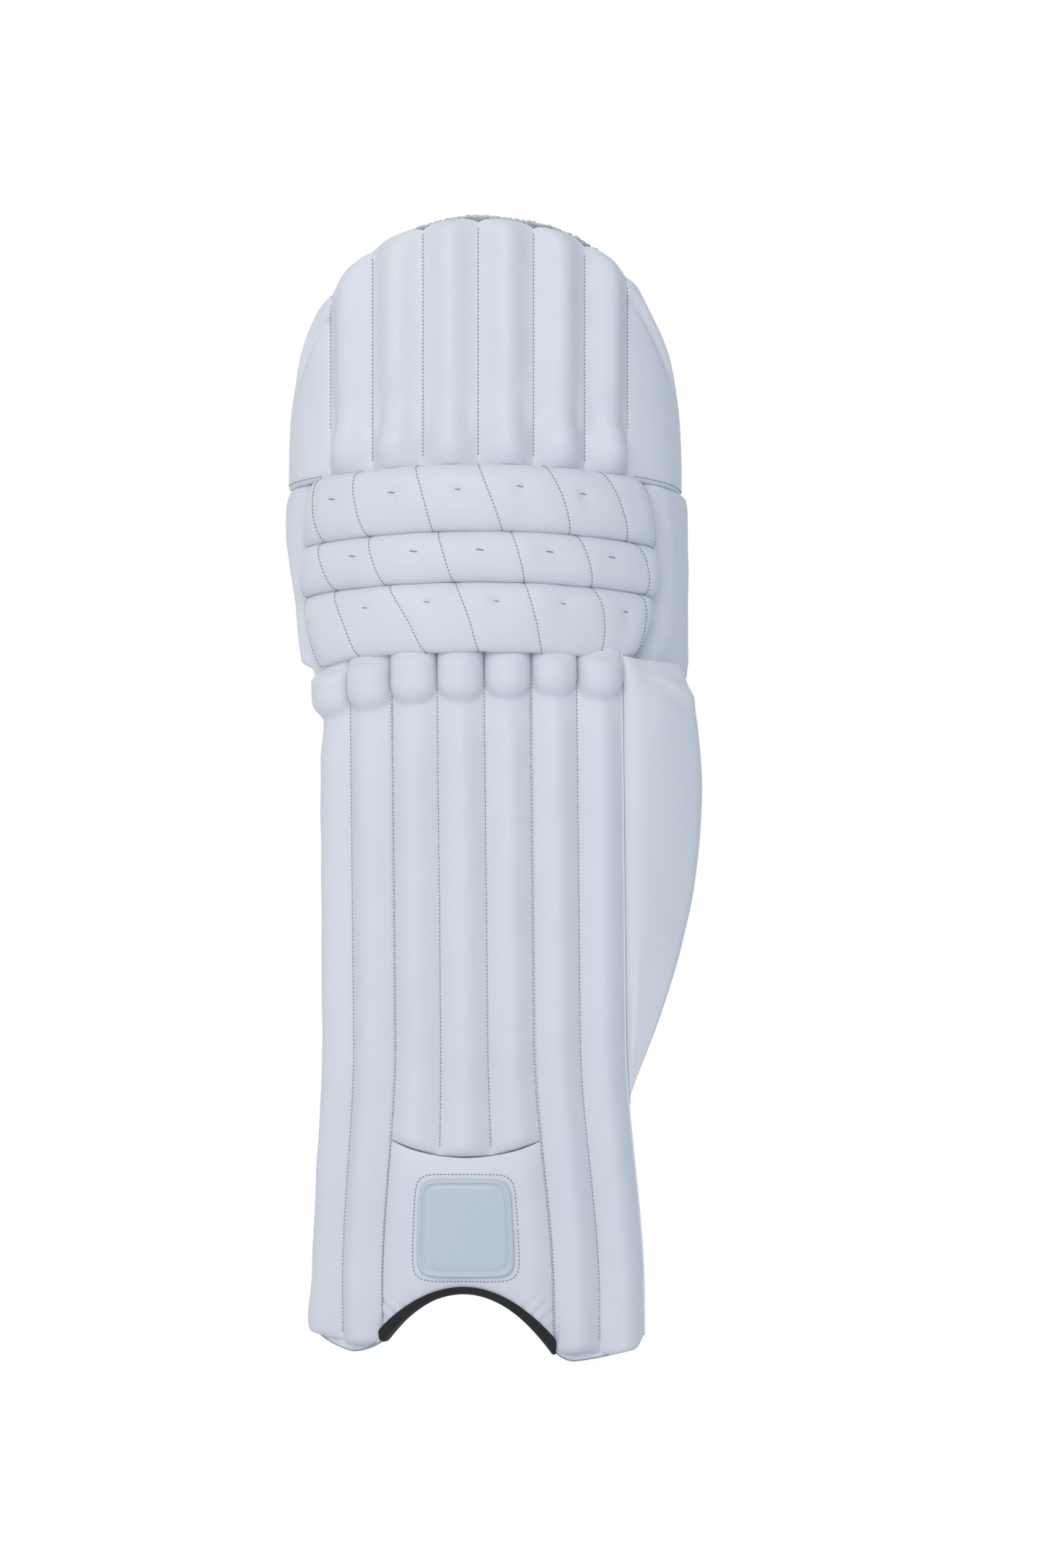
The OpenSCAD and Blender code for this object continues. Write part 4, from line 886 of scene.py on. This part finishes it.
t, phi = bolster_grid()
gather = 1 + 0.05 * np.sin(phi * 11 + 0.4) * ease((np.abs(t) - 0.7) / 0.3)
r = 9.8 * np.sqrt(1 - share_of((np.abs(t) * 0.995 - 0.76) / 0.24) ** 2) * gather
for name, za, zb in (("lower", Z1, Z2), ("upper", Z3, Z4)):
    z = flex_z((za + zb) / 2, knee_pt(t * 42, 0, -18)[..., 1])
    rings = knee_pt(t * 42, z + r * np.sin(phi), -18.4 + r * np.cos(phi))
    piece(name + "_knee_bolster_cloth", tube(rings), lining_cloth, name + "_roll",
          (name + "_knee_bolster",))

# ---- Top section ----
# A round-topped panel of leather over six canes, with a plain padded wing at each side. Its lower
# edge is sewn to the upper roll, and the padding swells into a knuckle just above that seam.
TOP_PITCH, TOP_CROWN, TOP_IN, TOP_OUT, TOP_REACH = 34.0, 9.5, 145.0, 166.0, 102.0


def top_fall(s):
    """Root of 1 less the square of the share of the half width: the fall of the half ellipse."""
    return np.sqrt(np.maximum(0, 1 - (s / np.where(s < 0, TOP_IN + 2, TOP_OUT + 2)) ** 2))


def top_edge(s):
    """Half of an ellipse over the knee, wider to the outer side."""
    return Z4 + 153 * top_fall(s)


def top_ear(s):
    """How far a side panel stands above that half ellipse beside the last channel."""
    return np.where(np.abs(s) < TOP_REACH, 0, 6.5 * bell((s + 117) / 13) + 3.5 * bell((s - 110) / 8))


def top_low(s, off):
    """Lower edge that hugs the upper roll."""
    c = np.clip((off - 1) / ROLL_DEPTH, 0, 0.95) ** 1.25
    return knee_z(Z4, np.degrees(s / KNEE_R)) + 0.15 - 0.75 * 20.5 * (1 - np.sqrt(1 - c * c) ** 0.9)


def top_flare(s, z):
    """Outward sweep of the side panels toward the bands below them."""
    return 3.2 * ease((640 - z) / 85) * ease((np.abs(s) - 95) / 45)


def top_off(s, z, low, edge):
    """Soft ridge of a channel or low pad of a side panel: rounds off under the upper edge, draws in
    at a neck, swells into a knuckle and narrows down to the lower seam. The wadding is pinched beside
    each knuckle, and a fold runs along the free edge of a side panel."""
    inside, up = np.abs(s) < TOP_REACH, z - low
    d = s / TOP_PITCH - np.floor(s / TOP_PITCH) - 0.5
    sharp = 1.2 - 0.55 * bell((up - 12) / 14)
    wave = np.cos(np.pi * np.clip(d, -0.5, 0.5)) ** (2 * sharp)
    wide = TOP_CROWN * (0.3 * crown_off(d * TOP_PITCH, TOP_PITCH, 1.0) + 0.7 * wave)
    wide = wide * (0.88 + 0.42 * bell((up - 16) / 11) - 0.22 * bell((up - 42) / 12))
    pinch = bell((np.abs(d) - 0.3) / 0.1) * bell((up - 30) / 10) * (1.3 + unevenness(s, z, 40, 23))
    far = (np.abs(s) - TOP_REACH) / np.where(s < 0, TOP_IN - TOP_REACH, TOP_OUT - TOP_REACH)
    side = 0.55 * TOP_CROWN * share_of(1 - (2 * far - 1) ** 2) ** 0.7
    away = (edge - z) * top_fall(s)
    fold = 1.5 * bell((away - 6) / 3) - 1.8 * bell((away - 11.5) / 3)
    wide = np.where(inside, wide - 0.9 * pinch, side + fold * ease((up - 55) / 30))
    end = quarter((edge - z) / 16)
    foot = quarter(np.where(inside, (up + 3) / 14, (up + 0.6) / 7))
    rough = 0.5 * unevenness(s, z, 48, 21) + 0.15 * unevenness(s, z, 14, 22)
    rough = share_of(wide / TOP_CROWN) * end * rough
    return wide * end * foot + rough + top_flare(s, z)


def top_row(s, z, off):
    """Stitches along a line over the top section."""
    a = s / KNEE_R
    return stitch_row(knee_pt(np.degrees(a), z, SEAM_OFF + off), outward(a))


side_cols = cosine_steps(34)
s = np.concatenate([
    lerp(-TOP_IN, -TOP_REACH, side_cols[:-1]), channel_columns(-3, 3, 26) * TOP_PITCH,
    lerp(TOP_REACH, TOP_OUT, side_cols[1:])])[None, :]
d = (s / TOP_PITCH - np.floor(s / TOP_PITCH) - 0.5) * 2
edge = top_edge(s) + top_ear(s) + np.where(np.abs(s) < TOP_REACH, 1.0 - 3.0 * d**4, -1.5)
low = top_low(s, 4.0)
edge = np.maximum(edge - 1.5 * bell((s / 60) ** 2), low + 6)
z = low + (edge - low) * (1 - (1 - np.linspace(0, 1, 150)[:, None]) ** 1.2)
deg = np.degrees(s / KNEE_R)
front = knee_pt(deg, z, SEAM_OFF + top_off(s, z, low, edge))
piece("top_face_skin", slab(front, knee_pt(deg, z, 0.3 + top_flare(s, z))), white_leather, "top_section",
      ("top_face", "top_wadding"))

# Up each valley, and along the foot of both side panels
rows = []
for k in range(-3, 4):
    s = np.full(80, k * TOP_PITCH)
    foot = 30 if abs(k) == 3 else 5
    rows.append(top_row(s, np.linspace(top_low(s[0], 4.0) + foot, top_edge(s[0]) - 5, 80), 0.15))
for first, last in ((-TOP_IN + 3, -TOP_REACH - 3), (TOP_REACH + 3, TOP_OUT - 4)):
    s = np.linspace(first, last, 60)
    low = top_low(s, 4.0)
    z = low + 2.4
    rows.append(top_row(s, z, top_off(s, z, low, top_edge(s) - 1.5) + 0.1))
piece("top_stitches", stitches(rows), thread, "top_section")

# ---- Top lining ----
# Towelling behind the top section, folded forward over its upper edge, where the loops make a
# slightly ragged outline.
# Cotton towelling: white loops about 1.5 mm high, matt, with soft shadow between them
towelling = plain_finish(
    "cotton_towelling", "Voronoi", {"Scale": 620.0, "Randomness": 0.9}, ("#dde1e6", "#b9c1c9"),
    {"Roughness": 0.95, "Specular IOR Level": 0.1, "Sheen Weight": 0.3}, (0.8, 0.0008), invert=True)
TOWEL_OFF = -5.3  # middle of the towelling behind the seam surface

s = np.linspace(-TOP_IN, TOP_OUT, 300)[None, :]
low = top_low(s, 0.0)
ragged = 0.6 * unevenness(s, 0 * s, 5, 31) + 0.6 * unevenness(s, 0 * s, 2.2, 32)
ragged = (0.6 + 0.5 * ease(s / 60)) * ragged
shows = 1.2 + 2.0 * ease((s - 10) / 50) * (1 - ease((s - 115) / 25)) + 1.0 * bell(s / 25)
edge = np.maximum(top_edge(s) + shows + ragged, low + 6)
z = low + (edge - low) * (1 - (1 - np.linspace(0, 1, 90)[:, None]) ** 1.5)
deg = np.degrees(s / KNEE_R)
rim = ease(1 - np.minimum(edge - z, np.minimum(s + TOP_IN, TOP_OUT - s) + 1.5) / 7)
close = np.sqrt(share_of((edge - z) / 2.0))
front = knee_pt(deg, z, TOWEL_OFF + (1.0 + 5.0 * rim) * close + top_flare(s, z))
back = knee_pt(deg, z, TOWEL_OFF - (1.0 + 0.8 * rim) * close + 0.25 * unevenness(s, z, 4, 33))
piece("top_lining_towel", slab(front, back), towelling, "top_section", ("top_lining",))

# ---- Shin lining and bolsters ----
# Brushed cotton behind the shin, and two upright stuffed tubes of the same cloth that keep the pad
# centred on the shin bone.
BOLSTER_Z, BOLSTER_HALF, BOLSTER_R = 261, 105, 12.8

u = np.linspace(0.14, 6.86, 180)[None, :]
low = np.where(u > 5, outer_toe(u), label_low(np.clip(u, 2, 5)))
low = np.where(u < 2, inner_toe(u), low) + 3.5
z = low + (shin_flex(u) - 0.7 - low) * np.linspace(0, 1, 160)[:, None]
quilt = 1.5 * np.minimum(1, np.sqrt(np.abs(np.sin(np.pi * u)) + 0.02))
quilt = quilt + 0.2 * unevenness(u * ACROSS, z, 40, 41)
piece("shin_lining_cloth", slab(shin_pt(u, z, -4.3), shin_pt(u, z, -4.9 - quilt)), lining_cloth, "shin",
      ("shin_lining",))

t, phi = bolster_grid()
z = BOLSTER_Z + BOLSTER_HALF * t
end = np.clip(BOLSTER_HALF * (1 - np.abs(t)) / 13, 0.004, 1)
r = BOLSTER_R * quarter(end) * (1 + 0.05 * np.sin(phi * 11) * (1 - ease(end)))
for name, u in (("inner", 2.1), ("outer", 4.9)):
    b = shin_frame(np.full(z.shape, u), z)[2]
    rings = shin_pt(u, z, -19.7) + sideways(b) * (r * np.cos(phi))[..., None]
    rings = rings + outward(b) * (r * np.sin(phi))[..., None]
    piece(f"shin_bolster_{name}_cloth", tube(rings), lining_cloth, "shin", (f"shin_bolster_{name}",))

# ---- Straps ----
# Three bands of woven webbing go round the leg, each folded round the wire of a steel ring. The
# loose end carries hook tape and closes on the loop tape of the band.
# Polyester webbing: white, flat and ribbed along its length, drawn with ribs 2.5 mm apart
webbing, tree, out, where = new_material("polyester_webbing_white")
run = add(tree, "UVMap", uv_map="weave").outputs["UV"]
rib = texture(tree, "Wave", run, {"Scale": 130.0, "Distortion": 0.0}, bands_direction="Y")
pick = texture(tree, "Wave", run, {"Scale": 240.0, "Distortion": 0.5, "Detail": 1.0}, bands_direction="X")
coat(tree, out, maths(tree, "MULTIPLY", rib, pick), ("#c9cfd6", "#e3e6ea"),
     {"Roughness": 0.7, "Specular IOR Level": 0.3}, (0.6, 0.0004))

# Nylon hook tape: near black, with rows of small stiff hooks
hook_tape = plain_finish(
    "nylon_hook_tape", "Voronoi", {"Scale": 700.0, "Randomness": 0.25}, ("#3b4046", "#15171a"),
    {"Roughness": 0.6, "Specular IOR Level": 0.4}, (0.9, 0.0006), invert=True)

# Nylon loop tape: white and fuzzy
loop_tape = plain_finish(
    "nylon_loop_tape", "Noise", {"Scale": 900.0, "Detail": 5.0}, ("#bfc6ce", "#e6e9ec"),
    {"Roughness": 0.95, "Sheen Weight": 0.3, "Specular IOR Level": 0.1}, (0.8, 0.0005))

STRAP_X, STRAP_Y, STRAP_W, STRAP_T = -2.0, -6.0, 38, 1.8  # axis of the leg, width, thickness
BAND_R, BAND_OUT, TAB_R = 77.3, 78.2, 82.7  # middle and outside of the band, middle of the tab
RING_DEG, WIRE_R, FOLD_R = 86, 80.0, 2.7  # turn and distance of the ring's wire, radius of the fold


def ribbon(path, side, z):
    """Flat band with round edges: an oblong section carried along a plan path, with its weave UV."""
    k = np.linspace(0, 2 * np.pi, 40, endpoint=False)
    ex = np.sign(np.cos(k)) * np.abs(np.cos(k)) ** 0.25 * STRAP_W / 2
    ey = np.sign(np.sin(k)) * np.abs(np.sin(k)) ** 0.55 * STRAP_T / 2
    plan = path[:, None] + side[:, None] * ey[None, :, None]
    rings = np.concatenate([plan, np.tile(z + ex, (len(path), 1))[..., None]], -1)
    run = run_of(path)
    uv = np.stack([np.repeat(run, 40), np.tile(ex, len(path))], -1)
    return tube(rings), np.concatenate([uv, [[0, 0], [run[-1], 0]]])


def round_leg(deg, r):
    """Plan points on a circle round the leg and their outward directions, deg from the front."""
    out_dir = outward(np.radians(deg))[..., :2]
    return np.array([STRAP_X, STRAP_Y]) + out_dir * r, out_dir


for name, z in (("ankle", 116.0), ("calf", 240.0), ("knee", 350.0)):
    # The sewn end lies where the band meets the lining on the inner side
    shift, lean = STRAP_X - shin_mid(z), STRAP_Y + FACE_Y - INNER_R
    k = ((INNER_R - 6.9) ** 2 - BAND_OUT**2 - shift**2 - lean**2) / (2 * BAND_OUT)
    band_end = np.degrees(np.arctan2(shift, -lean) - np.arccos(k / np.hypot(shift, lean)))
    # From there round the back of the leg, then round the wire
    band, band_out = round_leg(np.linspace(360 + band_end, RING_DEG, 150), BAND_R)
    wire, _ = round_leg(np.array(float(RING_DEG)), WIRE_R)
    a = np.radians(RING_DEG - 90)
    fold = np.linspace(np.pi, 2 * np.pi, 30)[1:-1]
    fold_out = np.stack([np.cos(a + fold), np.sin(a + fold)], -1)
    tail, tail_out = round_leg(np.linspace(RING_DEG, RING_DEG + 2, 4), TAB_R)
    path = np.concatenate([band, wire + fold_out * FOLD_R, tail])
    shape, uv = ribbon(path, np.concatenate([band_out, -fold_out, -tail_out]), z)
    piece(name + "_strap_webbing", shape, webbing, "shin", (name + "_strap",), uv=uv)
    shape, uv = ribbon(*round_leg(np.linspace(RING_DEG + 2.4, 158, 70), TAB_R), z)
    piece(name + "_tab_webbing", shape, webbing, name + "_hook_tab", (name + "_tab",), uv=uv)

# ---- Rings, keepers and hidden filling ----
# Steel wire rings sit in short keepers of webbing at the outer edge of the lining. Canes and foam
# board stay under the skins as they come from the frame.
# Nickel-plated steel wire: bright, smooth, faintly brushed
ring_steel, tree, out, where = new_material("nickel_plated_steel")
scuff = texture(tree, "Noise", where, {"Scale": 500.0, "Detail": 4.0})
shader = add(tree, "BsdfPrincipled", {"Base Color": linear("#c9c8c3"), "Metallic": 1.0},
             {"Roughness": mapped(tree, scuff, 0.18, 0.34)})
tree.links.new(shader.outputs[0], out.inputs["Surface"])

# Rattan cane: straw-coloured rods with fine grain along their length
cane, tree, out, where = new_material("rattan_cane")
along = add(tree, "Mapping", {"Scale": (900.0, 900.0, 30.0)}, {"Vector": where}).outputs["Vector"]
coat(tree, out, texture(tree, "Noise", along, {"Scale": 1.0, "Detail": 3.0}), ("#b8945a", "#d8bb84"),
     {"Roughness": 0.6})

# Closed-cell foam board: off-white, matt, finely pitted
foam = plain_finish("closed_cell_foam_board", "Voronoi", {"Scale": 800.0}, ("#cfd3d6", "#e6e7e4"),
                    {"Roughness": 0.95, "Specular IOR Level": 0.1}, (0.4, 0.0003))

# These meshes come from the frame without a weave map, so the keepers have the plain white finish
finishes = {
    "strap_rings": ring_steel, "shin_canes": cane, "top_canes": cane, "shin_backing": foam,
    "top_backing": foam, "ankle_hook": hook_tape, "calf_hook": hook_tape, "knee_hook": hook_tape,
    "loop_patches": loop_tape, "ring_keepers": white_leather,
}
for name, finish in finishes.items():
    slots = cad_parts[name].data.materials
    slots.clear()
    slots.append(finish)

# ---- Floor, light and camera ----
# A pale floor that reads as the white background but keeps a faint shadow, one broad soft light
# from the front, a weaker one from behind and a sky that is a little dimmer and cooler to the right.
FLOOR_HALF, FLOOR_Z = 6, -0.003


def seen_directly(tree):
    """1 for rays from the camera and for glossy and transmitted ones, 0 for those that light."""
    path = add(tree, "LightPath").outputs
    seen = maths(tree, "MAXIMUM", path["Is Camera Ray"], path["Is Glossy Ray"])
    return maths(tree, "MAXIMUM", seen, path["Is Transmission Ray"])


floor_finish, tree, out, where = new_material("white_floor")
matt = add(tree, "BsdfDiffuse", {"Color": linear("#f2f3f5")})
faint = add(tree, "BsdfDiffuse", {"Color": (0.14, 0.14, 0.14, 1)})
bright = add(tree, "Emission", {"Strength": 0.93})
white = add(tree, "AddShader", {}, {0: faint.outputs[0], 1: bright.outputs[0]})
mix = add(tree, "MixShader", {}, {0: seen_directly(tree), 1: matt.outputs[0], 2: white.outputs[0]})
tree.links.new(mix.outputs[0], out.inputs["Surface"])
mesh = bpy.data.meshes.new("floor")
corners = [(x * FLOOR_HALF, y * FLOOR_HALF, FLOOR_Z) for x, y in ((-1, -1), (1, -1), (1, 1), (-1, 1))]
mesh.from_pydata(corners, [], [(0, 1, 2, 3)])
mesh.materials.append(floor_finish)
floor = bpy.data.objects.new("floor", mesh)
bpy.context.collection.objects.link(floor)

world = bpy.data.worlds.new("studio_sky")
bpy.context.scene.world = world
world.use_nodes = True
tree = world.node_tree
tree.nodes.clear()
out = add(tree, "OutputWorld")
way = add(tree, "SeparateXYZ", {}, {0: add(tree, "TexCoord").outputs["Generated"]})
right = add(tree, "MapRange", {"From Min": -0.9, "From Max": 0.9}, {"Value": way.outputs["X"]})
cool = add(tree, "Mix", {"A": (0.62, 0.62, 0.62, 1), "B": (0.32, 0.39, 0.48, 1)},
           {"Factor": right.outputs["Result"]}, data_type="RGBA")
tint = add(tree, "Mix", {"B": (1, 1, 1, 1)}, {"Factor": seen_directly(tree), "A": cool.outputs["Result"]},
           data_type="RGBA")
sky = add(tree, "Background", {"Strength": 1.0}, {"Color": tint.outputs["Result"]})
tree.links.new(sky.outputs[0], out.inputs["Surface"])

# Both lights aim at the middle of the pad: place, size, power and colour
aim = np.array((0, 0, 0.35))
for name, place, size, power, colour in (("key", (-0.4, -2.85, 1.7), 2.2, 39.5, (1, 0.955, 0.875)),
                                         ("fill", (-0.3, 2.8, 1.5), 2.4, 18.0, (1, 1, 1))):
    lamp = bpy.data.lights.new(name, "AREA")
    lamp.shape, lamp.size, lamp.energy, lamp.color = "SQUARE", size, power, colour
    obj = bpy.data.objects.new(name, lamp)
    bpy.context.collection.objects.link(obj)
    x, y, z = aim - place
    obj.location = place
    obj.rotation_euler = (np.arctan2(np.hypot(x, y), -z), 0, np.arctan2(x, -y) + np.pi)

# The camera stands two metres in front of the face, level with the middle of the picture
camera = bpy.data.cameras.new("camera")
camera.sensor_fit, camera.sensor_height, camera.lens = "VERTICAL", 36.0, 74.5
view = bpy.data.objects.new("camera", camera)
bpy.context.collection.objects.link(view)
view.location = (0.0323, -2.08, 0.3568)
view.rotation_euler = (np.pi / 2, 0, 0)
bpy.context.scene.camera = view
bpy.context.scene.view_settings.view_transform = "Standard"
